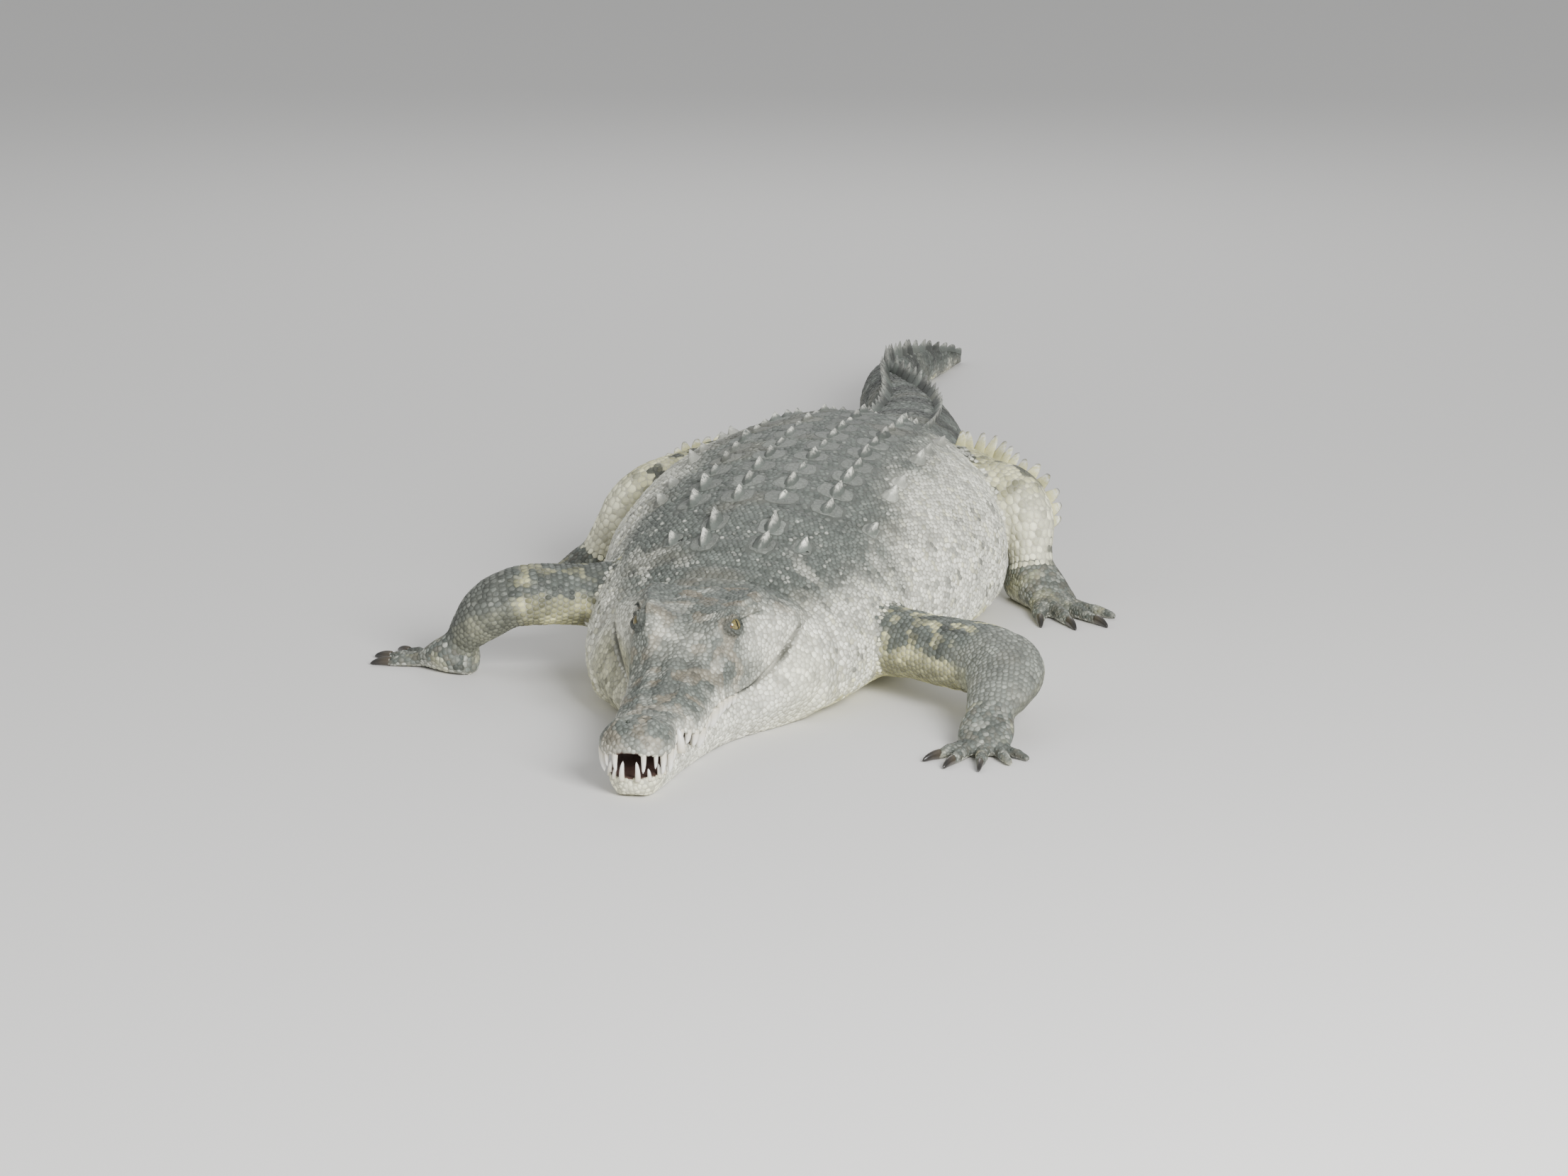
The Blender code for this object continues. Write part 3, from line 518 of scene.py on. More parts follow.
def closed_loft(rings):
    """Vertices and faces of a closed tube through rings, with a fan on each end."""
    stations, sides = rings.shape[:2]
    verts = np.concatenate([rings.reshape(-1, 3), rings[0].mean(0)[None], rings[-1].mean(0)[None]])
    i, j = np.meshgrid(np.arange(stations - 1), np.arange(sides), indexing="ij")
    a, b = i * sides + j, i * sides + (j + 1) % sides
    faces = np.stack([a, b, b + sides, a + sides], axis=-1).reshape(-1, 4).tolist()
    first, last = len(verts) - 2, len(verts) - 1
    row = (stations - 1) * sides
    for j in range(sides):
        k = (j + 1) % sides
        faces.append([first, k, j])
        faces.append([last, row + j, row + k])
    return verts, faces


def web_plate(name, first, second, share=0.60):
    """A web between two toes, as a thin block with a slack front edge."""
    corners = []
    for digit, at in ((first, 0.0), (first, share), (second, share), (second, 0.0)):
        start, ahead, _ = digit_line(name, digit)
        corners.append(start + ahead * digit[2] * at)
    front = (corners[1] + corners[2]) / 2
    notch = front + 0.22 * ((corners[0] + corners[3]) / 2 - front)
    outline = np.array([corners[0], corners[1], notch, corners[2], corners[3]])
    low, high = outline.copy(), outline.copy()
    low[:, 2], high[:, 2] = 0.0, WEB_HEIGHT
    return np.stack([low, high])


def flesh_forms():
    """Every loft with a name: the trunk with the tail, the head, the jaw, limbs, pads and digits."""
    around = full_turn(128)
    along = np.linspace(HEAD_LENGTH - 0.02, TOTAL_LENGTH, 420)
    yield "body", body_skin(along[:, None], around[None, :])
    share = np.linspace(0.0, 1.0, 150)
    head_along = (0.35 * share**2 + 0.65 * share) * HEAD_END
    yield "head", upper_rings(head_along)
    yield "jaw", lower_rings(np.linspace(JAW_FRONT, HEAD_END, 140))
    for name in LIMBS:
        yield name, limb_surface(name, np.linspace(0.0, 1.0, 70), around[::3])
        yield name + " foot", pad_rings(name)
        for digit in digits_of(name):
            yield name + " foot", digit_rings(name, digit)
        if is_hind(name):
            for first, second in zip(TOES, TOES[1:]):
                yield name + " foot", web_plate(name, first, second)


PART_NAMES = ["body", "head", "jaw", *LIMBS, *(name + " foot" for name in LIMBS)]
NUMBER_OF = {name: number for number, name in enumerate(PART_NAMES)}
form_verts, form_faces, form_part = [], [], []
for part_name, rings in flesh_forms():
    verts, faces = closed_loft(rings)
    start = sum(len(v) for v in form_verts)
    form_verts.append(verts)
    form_faces += [[start + k for k in face] for face in faces]
    form_part += [NUMBER_OF[part_name]] * len(faces)
form_verts, form_part = np.concatenate(form_verts), np.array(form_part)
print("lofts:", len(form_verts), "vertices,", len(form_faces), "faces")

# %% One closed surface over the lofts


def new_object(name, data):
    obj = bpy.data.objects.new(name, data)
    bpy.context.scene.collection.objects.link(obj)
    return obj


def mesh_object(name, verts, faces):
    """A new object with this mesh, its normals turned outwards."""
    mesh = bpy.data.meshes.new(name)
    mesh.from_pydata([tuple(v) for v in verts], [], faces)
    shape = bmesh.new()
    shape.from_mesh(mesh)
    bmesh.ops.recalc_face_normals(shape, faces=shape.faces)
    shape.to_mesh(mesh)
    shape.free()
    return new_object(name, mesh)


def evaluated_mesh(obj):
    """The object's mesh with its modifiers applied."""
    depsgraph = bpy.context.evaluated_depsgraph_get()
    return bpy.data.meshes.new_from_object(obj.evaluated_get(depsgraph), depsgraph=depsgraph)


def read_rows(items, key, width, kind=float):
    """One property of every item of a mesh, as rows of an array."""
    values = np.empty(len(items) * width, dtype=kind)
    items.foreach_get(key, values)
    return values.reshape(-1, width)


def read_vertices(mesh, key="co"):
    return read_rows(mesh.vertices, key, 3)


def read_edges(mesh):
    return read_rows(mesh.edges, "vertices", 2, np.int32)


flesh = mesh_object("flesh", form_verts, form_faces)
remesh = flesh.modifiers.new("Voxels", "REMESH")
remesh.mode = "VOXEL"
remesh.voxel_size = VOXEL
skin_mesh = evaluated_mesh(flesh)
bpy.data.objects.remove(flesh)
timed("skin:", len(skin_mesh.vertices), "vertices")

# %% [markdown]
# Before any sculpting, each vertex has to know which part it belongs to: the nearest loft tells it.
# Where two parts meet, the union has a hard crease. Real skin is drawn tight over such a place, so
# the part labels are spread over their neighbours, and wherever the labels are mixed, the surface is
# relaxed. The rest gets only the few gentle passes that take away the steps of the voxels.

# %% Relaxing and labelling
form_tree = BVHTree.FromPolygons([tuple(v) for v in form_verts], form_faces)


def parts_at(points):
    """The number of the part whose loft is nearest to each point."""
    return np.array([form_part[form_tree.find_nearest(p)[2]] for p in points.tolist()])


def neighbour_mean(values, edges, count):
    """For each vertex, the mean of its neighbours' values."""
    ends = np.concatenate([edges[:, 0], edges[:, 1]])
    others = np.concatenate([edges[:, 1], edges[:, 0]])
    degree = np.maximum(1, np.bincount(ends, minlength=count))
    columns = [np.bincount(ends, values[others, k], minlength=count) for k in range(values.shape[1])]
    return np.stack(columns, axis=1) / degree[:, None]


def smoothed(points, edges, pulls, weight=1.0):
    """Passes that pull each vertex towards its neighbours' mean, or for a negative pull away from it."""
    for pull in pulls:
        points = points + pull * weight * (neighbour_mean(points, edges, len(points)) - points)
    return points


co, edges = read_vertices(skin_mesh), read_edges(skin_mesh)
co = smoothed(co, edges, (0.52, -0.53) * 3)  # in and out in turn, so that the shape doesn't shrink
part = parts_at(co)
body, head, jaw = (NUMBER_OF[name] for name in ("body", "head", "jaw"))


def in_head(part):
    return (part == head) | (part == jaw)


def in_limb(part):
    return (part > jaw) & (part <= jaw + 4)


def in_foot(part):
    return part > jaw + 4


SPREAD_PASSES, CREASE_PASSES, TEMPLE_PASSES = ((8, 34, 80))
# Head, jaw and neck share one crease only at the back of the jaw; feet keep their own knuckles.
front = in_head(part) & (co[:, 1] <= 0.50)
behind = (part == body) | (in_head(part) & ~front)
groups = np.stack([behind, in_limb(part), in_foot(part), front], axis=1).astype(float)
for _ in range(SPREAD_PASSES):
    groups = neighbour_mean(groups, edges, len(co))
mixed = 1.0 - (groups**2).sum(1)
mixed = np.clip(2.2 * mixed, 0.0, 1.0)[:, None] * (1.0 - 0.75 * (groups[:, 3:4] > 0.02))
co = smoothed(co, edges, (0.5,) * CREASE_PASSES, mixed)
temples = bump(co[:, 1], HEAD_LENGTH + 0.008, 0.032) * ease(0.075, 0.105, np.abs(co[:, 0]))
nape = 0.5 * bump(co[:, 1], HEAD_LENGTH + 0.004, 0.014)
co = smoothed(co, edges, (0.5,) * TEMPLE_PASSES, np.maximum(temples, nape)[:, None])
timed("labelled", np.bincount(part).tolist())

# %% [markdown]
# Lids, nostrils and the lips need a finer mesh than the flanks. The faces near them are divided, the
# eye region twice, before anything is raised there.

# %% Finer faces where the face needs them
EYE_RADIUS = 0.0185
EYE_CENTRE = np.array((0.0660, 0.374, 0.1830))


def to_left(points):
    """The points with the right side mirrored onto the left."""
    return np.abs(points) * (1, 0, 0) + points * (0, 1, 1)


def divide_near(mesh, near):
    """Cuts every edge in two whose ends both satisfy near(points)."""
    shape = bmesh.new()
    shape.from_mesh(mesh)
    shape.verts.ensure_lookup_table()
    inside = near(np.array([v.co[:] for v in shape.verts]))
    chosen = [e for e in shape.edges if inside[e.verts[0].index] and inside[e.verts[1].index]]
    bmesh.ops.subdivide_edges(shape, edges=chosen, cuts=1, use_grid_fill=True)
    shape.to_mesh(mesh)
    shape.free()


def near_face(points):
    """Lips, nose disc and the surroundings of the eyes."""
    p = to_left(points)
    lip = line_at(LIP, p[:, 1])
    lips = (p[:, 1] < 0.53) & (np.abs(p[:, 2] - lip[:, 1] + 0.004) < 0.020) & (p[:, 0] > 0.6 * lip[:, 0])
    nose = (p[:, 1] < 0.075) & (p[:, 2] > 0.085)
    eyes = np.linalg.norm(p - EYE_CENTRE, axis=1) < 0.045
    ears = np.linalg.norm((p - (0.09, 0.43, 0.197)) * (1, 0.5, 1), axis=1) < 0.016
    return lips | nose | eyes | ears


def near_lids(points):
    return np.linalg.norm(to_left(points) - EYE_CENTRE, axis=1) < 0.031


skin_mesh.vertices.foreach_set("co", co.ravel())
divide_near(skin_mesh, near_face)
divide_near(skin_mesh, near_lids)
skin_mesh.update()
co, edges, normal = read_vertices(skin_mesh), read_edges(skin_mesh), read_vertices(skin_mesh, "normal")
part = parts_at(co)
timed("skin:", len(co), "vertices after dividing")

# %% [markdown]
# The forms of the head are hills and grooves added along the normals, each written as a formula in
# the head's own numbers: how far along, how far out and how high. The upper teeth push out small
# swellings over the lip. The seam of the closed mouth runs back to the corner under the eye, and a
# low ridge runs from each eye down the snout. Behind the eye a slit under the edge of the skull
# covers the ear.

# %% Teeth, which the lips follow
UPPER_TEETH = (  # along the jaw, length below the lip, radius at the root
    (0.004, 0.024, 0.0044), (0.016, 0.017, 0.0036), (0.029, 0.027, 0.0052), (0.047, 0.029, 0.0060),
    (0.067, 0.017, 0.0046), (0.098, 0.010, 0.0044), (0.133, 0.012, 0.0048), (0.151, 0.015, 0.0058),
    (0.170, 0.018, 0.0064), (0.193, 0.023, 0.0086), (0.216, 0.015, 0.0064), (0.236, 0.016, 0.0066),
    (0.258, 0.024, 0.0094), (0.281, 0.020, 0.0080), (0.301, 0.015, 0.0066), (0.319, 0.012, 0.0054),
    (0.336, 0.010, 0.0048),
)
LOWER_TEETH = (
    (0.009, 0.022, 0.0044), (0.038, 0.014, 0.0036), (0.076, 0.014, 0.0044), (0.112, 0.028, 0.0074),
)


def ripple(points, size, seed=0.0):
    """Smooth noise between -1 and 1 whose lumps are about this size."""
    shifted = (points / size + seed).tolist()
    return np.array([noise.noise(p) for p in shifted])


def seam_height(along):
    """Height of the line between the lips."""
    return line_at(LIP, along)[:, 1] - 0.5 * smooth_through(GAPE, along)


def mouth_seam(points):
    """1 in the groove between the closed lips, 0 away from it."""
    p = to_left(points)
    closed = window(p[:, 1], (0.20, 0.32), (0.500, 0.516))
    outside = p[:, 0] > 0.75 * line_at(LIP, p[:, 1])[:, 0]
    return closed * outside * bump(p[:, 2], seam_height(p[:, 1]), 0.0036)


def ear_slit(points):
    """Distance to the ear's slit on either side, and how far above it a point lies."""
    p = to_left(points)
    start, end = np.array((0.0815, 0.402, 0.194)), np.array((0.0990, 0.452, 0.197))
    share = np.clip(((p - start) @ (end - start)) / ((end - start) @ (end - start)), 0, 1)
    nearest = start + share[:, None] * (end - start)
    return np.linalg.norm(p - nearest, axis=1), p[:, 2] - nearest[:, 2]


def nostril(points):
    """Depth share of the two crescent nostrils on the nose disc."""
    p = to_left(points)
    dx, dy = p[:, 0] - 0.0135, p[:, 1] - 0.0385
    lengthwise, across = 0.80 * dy + 0.60 * dx, 0.80 * dx - 0.60 * dy
    across = across + 18.0 * lengthwise**2
    return bump(across, 0.0, 0.0026) * np.exp(-((lengthwise / 0.0072) ** 4)) * (p[:, 2] > 0.09)


def head_relief(points, normals):
    """How far the head's skin stands out, in metres."""
    p = to_left(points)
    out, along, height = p.T
    sideways, up = ease(0.15, 0.6, np.abs(normals[:, 0])), ease(0.15, 0.7, normals[:, 2])
    above_lip = height - line_at(LIP, along)[:, 1]
    brow = line_at(BROW, along)
    relief = np.zeros(len(p))
    for place, length, radius in UPPER_TEETH:
        relief += 0.42 * radius * bump(along, place, 0.0075) * bump(above_lip, 0.010, 0.013) * sideways
    seam = height - seam_height(along)
    closed = window(along, (0.22, 0.33), (0.495, 0.525))
    relief += 0.0016 * closed * (bump(seam, 0.009, 0.006) + bump(seam, -0.009, 0.006))
    relief -= 0.0078 * mouth_seam(points)
    # snout: a low swelling ahead of the eyes, and the pair of ridges
    relief += 0.0055 * bump(along, 0.300, 0.050) * bump(out, 0.0, 0.020) * up
    ridge = window(along, (0.13, 0.22), (0.325, 0.350))
    relief += 0.0034 * ridge * bump(out, brow[:, 0] * 0.80, 0.0075) * up
    relief -= 0.0020 * ridge * bump(out, brow[:, 0] * 0.45, 0.0075) * up
    # skull table with two shallow pits, a raised edge and a step down to the neck
    relief -= 0.0040 * bump(np.hypot(out - 0.040, (along - 0.458) * 0.8), 0.0, 0.013) * up
    edge = 0.0028 * bump(out, brow[:, 0] * 0.94, 0.010) * ease(0.40, 0.43, along)
    relief += edge * bump(height, 0.212, 0.012)
    relief += 0.0035 * bump(along, 0.508, 0.012) * fade(0.085, 0.100, out) * up
    relief -= 0.0050 * bump(along, 0.545, 0.014) * fade(0.10, 0.13, out) * up
    distance, above = ear_slit(points)
    relief -= 0.0055 * bump(distance, 0.0, 0.0030)
    relief += 0.0026 * bump(distance, 0.006, 0.0045) * (above > 0)
    # nose disc
    disc = np.hypot(out / 0.030, (along - 0.043) / 0.026)
    relief += 0.0022 * bump(disc, 0.92, 0.16) * up
    relief -= 0.0016 * bump(np.hypot(out / 0.008, (along - 0.043) / 0.022), 0.0, 1.0) * up
    relief -= 0.0080 * nostril(points)
    # the swelling of the jaw muscle under and behind the corner, and folds where it meets the neck
    relief += 0.0060 * bump(np.hypot((along - 0.490) / 0.042, (height - 0.100) / 0.038), 0.0, 1.0)
    for place in (0.395, 0.425):
        relief -= 0.0016 * bump(along + 0.25 * (height - 0.06), place, 0.005) * (height < 0.075)
    fold = along - (0.500 + 0.32 * (height - 0.03))
    relief -= 0.0034 * bump(fold, 0.0, 0.0055) * ease(0.02, 0.05, height) * fade(0.11, 0.125, height)
    knobbly = up * ease(0.07, 0.12, along) * fade(0.53, 0.56, along)
    relief += knobbly * (0.0013 * ripple(points, 0.019) + 0.0007 * ripple(points, 0.0085, 5.0))
    return relief


def body_relief(points, normals):
    """Folds of the neck and flanks, and the grooves between the rows of shields."""
    along, out, height = body_numbers(points)
    narrowing = 1.0 - 0.45 * ease(0.55, 1.0, (along - NECK_END) / (TRUNK_END - NECK_END))
    row = 0.5 + 0.5 * np.cos(2 * math.pi * ((along - NECK_END) / SCUTE_PITCH + 0.02))
    shield = fade(0.140, 0.165, np.abs(out) / narrowing) * ease(0.1, 0.6, normals[:, 2])
    shield *= window(along, (NECK_END - 0.03, NECK_END), (TRUNK_END, TRUNK_END + 0.03))
    relief = -0.0022 * row**5 * shield
    whorl = 0.5 + 0.5 * np.cos(2 * math.pi * (along - TRUNK_END) / WHORL_PITCH)
    relief -= 0.0014 * whorl**5 * ease(TRUNK_END, TRUNK_END + 0.04, along) * (height > 0.004)
    wobble = 0.012 * ripple(points, 0.10, 3.0)
    flank = ease(0.010, 0.040, height) * (1 - shield) * fade(TRUNK_END - 0.1, TRUNK_END + 0.1, along)
    for place, depth in ((0.565, 0.0042), (0.602, 0.0034), (0.648, 0.0030), (0.700, 0.0020)):
        relief -= depth * bump(along + wobble - 0.10 * (height - 0.1), place, 0.0075) * flank
    sag = 0.5 + 0.5 * np.sin(2 * math.pi * (along + 1.6 * wobble) / 0.052)
    relief -= 0.0022 * sag**3 * flank * bump(height, 0.09, 0.075) * ease(0.86, 0.95, along)
    relief += flank * (0.0034 * ripple(points * (1, 1, 0.6), 0.085, 9.0))
    relief += (1 - shield) * 0.0011 * ripple(points, 0.030, 2.0) * ease(0.004, 0.02, height)
    return relief


LIMB_CREASES = ((0.50, 0.0010), (0.565, 0.0018), (0.625, 0.0014), (0.91, 0.0012), (0.955, 0.0012))


def limb_relief(points, part):
    """Slack folds over the muscles of the limbs, and creases at elbow, wrist, knee and ankle."""
    relief = 0.0022 * ripple(points, 0.045, 4.0) + 0.0011 * ripple(points, 0.020, 6.0)
    for name in LIMBS:
        mine = part == NUMBER_OF[name]
        share, turn = limb_numbers(points[mine], name)
        crease = np.zeros(mine.sum())
        for place, depth in LIMB_CREASES:
            crease += depth * bump(share + 0.020 * np.sin(2 * turn + 40 * place), place, 0.011)
        relief[mine] -= crease
    return relief


def limb_numbers(points, name):
    """Share along the limb, and the angle round it, of points on its skin."""
    shares = np.linspace(0.0, 1.0, 80)
    path, ahead, side = limb_line(LIMBS[name], shares)
    nearest = np.argmin(((points[:, None] - path[None]) ** 2).sum(-1), axis=1)
    offset = points - path[nearest]
    beside = np.cross(ahead[nearest], side)
    return shares[nearest], np.arctan2(offset @ side, (offset * beside).sum(1))


on_head, on_trunk, on_limbs = in_head(part), part == body, in_limb(part)
relief = np.zeros(len(co))
relief[on_head] = head_relief(co[on_head], normal[on_head])
relief[on_trunk] = body_relief(co[on_trunk], normal[on_trunk])
relief[on_limbs] = limb_relief(co[on_limbs], part[on_limbs])
spread = neighbour_mean(relief[:, None], edges, len(co))[:, 0]
sharp = on_head & (co[:, 1] < 0.53)
relief = np.where(sharp, relief, spread)
co = co + normal * (relief - COAT_DEPTH)[:, None]
print("relief from", round(1000 * relief.min(), 1), "to", round(1000 * relief.max(), 1), "mm")

# %% [markdown]
# The eyes sit high on the head under a bony brow. Round each eyeball the skin becomes two lids: it
# follows a shell a little larger than the ball, stops at an almond-shaped opening, and turns in
# behind the ball there. In the numbers of the opening, 1 is its middle and 0 the edge of the lids.

# %% Lids
GAZE = unit((0.840, -0.420, 0.340))
EYE_BACK = unit(np.cross((0.0, 0.0, 1.0), GAZE) + (0.0, 0.0, 0.10))  # towards the rear corner
EYE_UP = np.cross(GAZE, EYE_BACK)
LID = 0.0030
SKIN_OVER_FLOOR = 0.0012


def eye_opening(points):
    """How far inside the almond opening each point is seen from the eye's middle, and its distance."""
    offset = to_left(points) - EYE_CENTRE
    distance = np.linalg.norm(offset, axis=1)
    forward = offset @ GAZE / distance
    depth = np.maximum(forward, 0.05)
    p, q = (offset @ EYE_BACK) / distance / depth, (offset @ EYE_UP) / distance / depth
    half = np.where(q > -0.02, 0.52, 0.42) * (1 - np.clip(np.abs(p) / 0.86, 0, 3) ** 2.2)
    inside = np.where(forward > 0.05, 1 - np.abs(q + 0.02) / np.maximum(half, 0.02), -9.0)
    inside = np.where(half < 0, np.minimum(inside, -np.abs(half) * 6), inside)
    return inside, distance, forward, offset


near = (np.linalg.norm(to_left(co) - EYE_CENTRE, axis=1) < 0.060) & (part == head)
inside, distance, forward, offset = eye_opening(co[near])
rims = 0.0022 * bump(inside, -0.30, 0.24) - 0.0008 * bump(inside, -0.75, 0.16)
shell = EYE_RADIUS + LID + rims + 0.0016 * bump(inside, -1.15, 0.30)
grip = ease(-3.4, -1.2, inside) * ease(-0.10, 0.30, forward)
wanted = distance + grip * (shell - distance)
wanted = np.maximum(wanted, EYE_RADIUS + 0.0024)
wanted = np.where(inside > 0, EYE_RADIUS * (0.985 - 0.30 * ease(0.0, 0.12, inside)), wanted)
pulled = EYE_CENTRE + offset * (wanted / distance)[:, None]
pulled[:, 0] *= np.sign(co[near][:, 0])
co[near] = pulled
co[:, 2] = np.maximum(co[:, 2], SKIN_OVER_FLOOR)
print("lid vertices:", int((grip > 0.5).sum()))

# %% [markdown]
# The mesh is now far finer than it needs to be on the trunk. A Decimate modifier takes most of it
# away, with a vertex group that holds on to the face, the hands and the feet.

# %% Thinning the mesh
SKIN_TRIANGLES = 196000
keep = np.full(len(co), 0.03)
keep[in_foot(part)] = 0.35
keep[on_limbs] = 0.10
keep[on_head] = 0.30
eye_distance = np.linalg.norm(to_left(co) - EYE_CENTRE, axis=1)
keep = np.where(eye_distance < 0.045, 0.75, keep)
keep = np.where((mouth_seam(co) > 0.05) & on_head, 0.6, keep)
keep = np.where((co[:, 1] < 0.075) & (part == head) & (co[:, 2] > 0.09), 0.6, keep)
keep = np.where(co[:, 2] < 0.003, 0.0, keep)
skin_mesh.vertices.foreach_set("co", co.ravel())
skin_mesh.update()
skin = new_object("skin", skin_mesh)
group = skin.vertex_groups.new(name="keep")
for weight in np.unique(keep):
    if weight > 0:
        group.add(np.nonzero(keep == weight)[0].tolist(), float(weight), "REPLACE")
triangles = len(skin_mesh.loops) - 2 * len(skin_mesh.polygons)
thin = skin.modifiers.new("Thin", "DECIMATE")
thin.ratio = min(1.0, SKIN_TRIANGLES / triangles)
thin.vertex_group = "keep"
thin.invert_vertex_group = True
thin.vertex_group_factor = 30.0
thinned = evaluated_mesh(skin)
skin.modifiers.clear()
skin.vertex_groups.clear()
skin.data = thinned
timed("skin:", len(thinned.polygons), "faces")

# %% Final arrays of the skin
skin_co, skin_normal = read_vertices(skin.data), read_vertices(skin.data, "normal")
skin.data.calc_loop_triangles()
skin_tris = read_rows(skin.data.loop_triangles, "vertices", 3, np.int32)
print("skin:", len(skin_co), "vertices,", len(skin_tris), "triangles")
FLESH = [
    "head", "lower_jaw", "neck", "chest", "belly_and_hips", "tail_root", "tail_middle", "tail_end",
    *(f"{kind}_{side}" for kind in ("upper_arm", "forearm", "hand", "thigh", "shank", "foot")
      for side in ("left", "right")),
]


def settle(obj, slot_name, *nodes):
    """Puts a finished piece at the head's place, smooth-shaded, riding on the one body."""
    obj.data.transform(Matrix.Translation(SNOUT_TIP))
    obj.data.shade_smooth()
    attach(obj, "root")
    if nodes:
        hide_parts(*nodes)

# %% [markdown]
# Skin and scales have to carry the same markings, so the markings are worked out once, as numbers for
# any place on the animal: how pale, how creamy, how dark, how brown it is there. They are formulas in
# the animal's own lengths and angles with some noise, and go into attributes that the materials read.
# A scale takes the numbers of its root, and so has one tone, as a real scale does.

# %% Markings for any place on the skin


def strongest(*marks):
    return np.maximum.reduce(marks)


def bars(place, width, share=0.5):
    """Soft dark bars at an even spacing: 1 in a bar, 0 between."""
    wave = 0.5 + 0.5 * np.cos(2 * math.pi * place / width)
    return ease(1 - share, min(1.0, 1.25 - share), wave)


def body_marks(points, normals):
    along, out, height = body_numbers(points)
    lumps = ripple(points, 0.075, 11.0)
    grain = ripple(points, 0.020, 15.0)
    fleck = ripple(points * (1, 1, 0.6), 0.011, 17.0)
    rump = ease(TRUNK_END - 0.42, TRUNK_END - 0.10, along)
    low = height + 0.034 * lumps + 0.018 * grain + 0.06 * rump
    on_tail = ease(TRUNK_END - 0.05, TRUNK_END + 0.12, along)
    rise = 0.110 * ease(0.78, 1.10, along) * (1 - rump)
    pale = 0.92 * fade(0.120 + rise, 0.250 + rise, low) * (1 - on_tail)
    pale = pale + on_tail * fade(0.02, 0.10, low)
    middle = fade(0.11, 0.21, np.abs(out) + 0.05 * lumps + 0.03 * grain) * ease(0.15, 0.20, height)
    pale = pale * (1 - middle)
    patches = 0.50 * ease(0.10, 0.45, ripple(points, 0.045, 13.0)) * fade(0.20, 0.27, height)
    pale = np.maximum(pale, patches * (1 - on_tail))
    cream = 0.75 * fade(0.012, 0.075, low) + 0.45 * ease(0.24, 0.42, fleck) * pale
    blotches = ease(0.16, 0.42, ripple(points, 0.048, 21.0) + 0.35 * grain)
    specks = ease(0.22, 0.42, ripple(points, 0.0135, 23.0))
    band = bars(along - NECK_END + 0.030 * lumps, 2.0 * SCUTE_PITCH, 0.42)
    dark = strongest(
        0.30 * band * ease(0.16, 0.26, height), 0.34 * blotches * ease(0.05, 0.14, height),
        0.58 * specks * ease(0.015, 0.05, height) * (1 - 0.4 * ease(0.2, 0.26, height)),
    )
    tail_band = bars(along - TRUNK_END + 0.016 * lumps, 4 * WHORL_PITCH, 0.50) * ease(0.02, 0.06, height)
    dark = dark * (1 - on_tail) + on_tail * np.maximum(0.80 * tail_band, 0.35 * blotches)
    brown = 0.34 * ease(0.10, 0.5, ripple(points, 0.09, 31.0))
    return pale, cream, dark, brown


def head_marks(points, normals):
    p = to_left(points)
    out, along, height = p.T
    lip = line_at(LIP, along)
    grain, lumps = ripple(points, 0.014, 41.0), ripple(points, 0.045, 43.0)
    above_lip = height - lip[:, 1] + 0.006 * lumps
    jaw_side = fade(-0.004, 0.004, above_lip)
    lip_band = 0.80 * fade(-0.002, 0.050, above_lip + 0.010 * grain)
    lip_band = lip_band * (0.75 + 0.25 * ease(0.04, 0.12, along))
    lip_band = lip_band * (1 - 0.35 * ease(0.28, 0.36, along))
    cheek = bump(along, 0.450, 0.085) * bump(height, 0.150, 0.058)
    forehead = bump(along, 0.335, 0.060) * ease(0.3, 0.8, normals[:, 2])
    pale = strongest(
        jaw_side, lip_band, 0.90 * cheek * ease(0.25, 0.6, np.abs(normals[:, 0])),
        0.34 * forehead + 0.30 * ease(0.0, 0.45, ripple(points, 0.028, 45.0)),
    )
    muscle = bump(np.hypot((along - 0.500) / 0.080, (height - 0.090) / 0.065), 0.0, 1.0)
    chin = fade(0.03, 0.10, along)
    throat = ease(0.35, 0.50, along) * fade(0.10, 0.14, height)
    dark = 0.40 * ease(0.10, 0.45, ripple(points, 0.020, 47.0) + 0.5 * grain) * (1 - 0.8 * jaw_side)
    dark = dark * (1 - 0.9 * muscle) * (1 - 0.5 * lip_band)
    specks = ease(0.34, 0.50, ripple(points, 0.0075, 53.0)) * jaw_side * (1 - muscle)
    brown = 0.75 * ease(0.0, 0.35, ripple(points, 0.028, 59.0)) * (1 - jaw_side)
    # painted shade: a dark ring in the hollow round each eye, and a dark line in the groove between the
    # closed lips
    from_eye = np.linalg.norm((p - EYE_CENTRE - 0.004 * EYE_BACK) * (1, 0.8, 1.1), axis=1)
    socket = bump(from_eye, 0.016, 0.0085)
    closed = window(along, (0.13, 0.20), (0.505, 0.520))
    line = closed * bump(height, seam_height(along), 0.0050)
    # painted shade on the animal's right jowl, the side turned away from the light; the same mask also adds
    # cream there
    jowl = bump(along, 0.46, 0.11) * ease(0.3, 0.7, -normals[:, 0]) * fade(0.12, 0.16, height)
    cream = strongest(jaw_side * np.maximum(0.40 * chin, 0.30 * throat), 0.30 * muscle, 0.55 * jowl)
    # painted shade along the lip at the roots of the upper teeth, which makes the teeth stand out
    gum_shade = window(along, (0.11, 0.15), (0.33, 0.37)) * bump(above_lip, -0.008, 0.012)
    dark = strongest(
        dark, 0.35 * specks, 0.85 * socket, 0.85 * line, 0.52 * gum_shade,
        0.60 * jowl * (0.6 + 0.4 * ease(-0.3, 0.3, grain)),
    )
    tip = fade(0.05, 0.12, along) * (1 - jaw_side)
    bare = (1 - 0.7 * socket) * (1 - 0.6 * line) * (1 - 0.22 * tip)
    pale = pale * bare * (1 - 0.30 * gum_shade)
    return pale, cream * (1 - socket) * (1 - line), dark, np.maximum(brown, 0.8 * line)


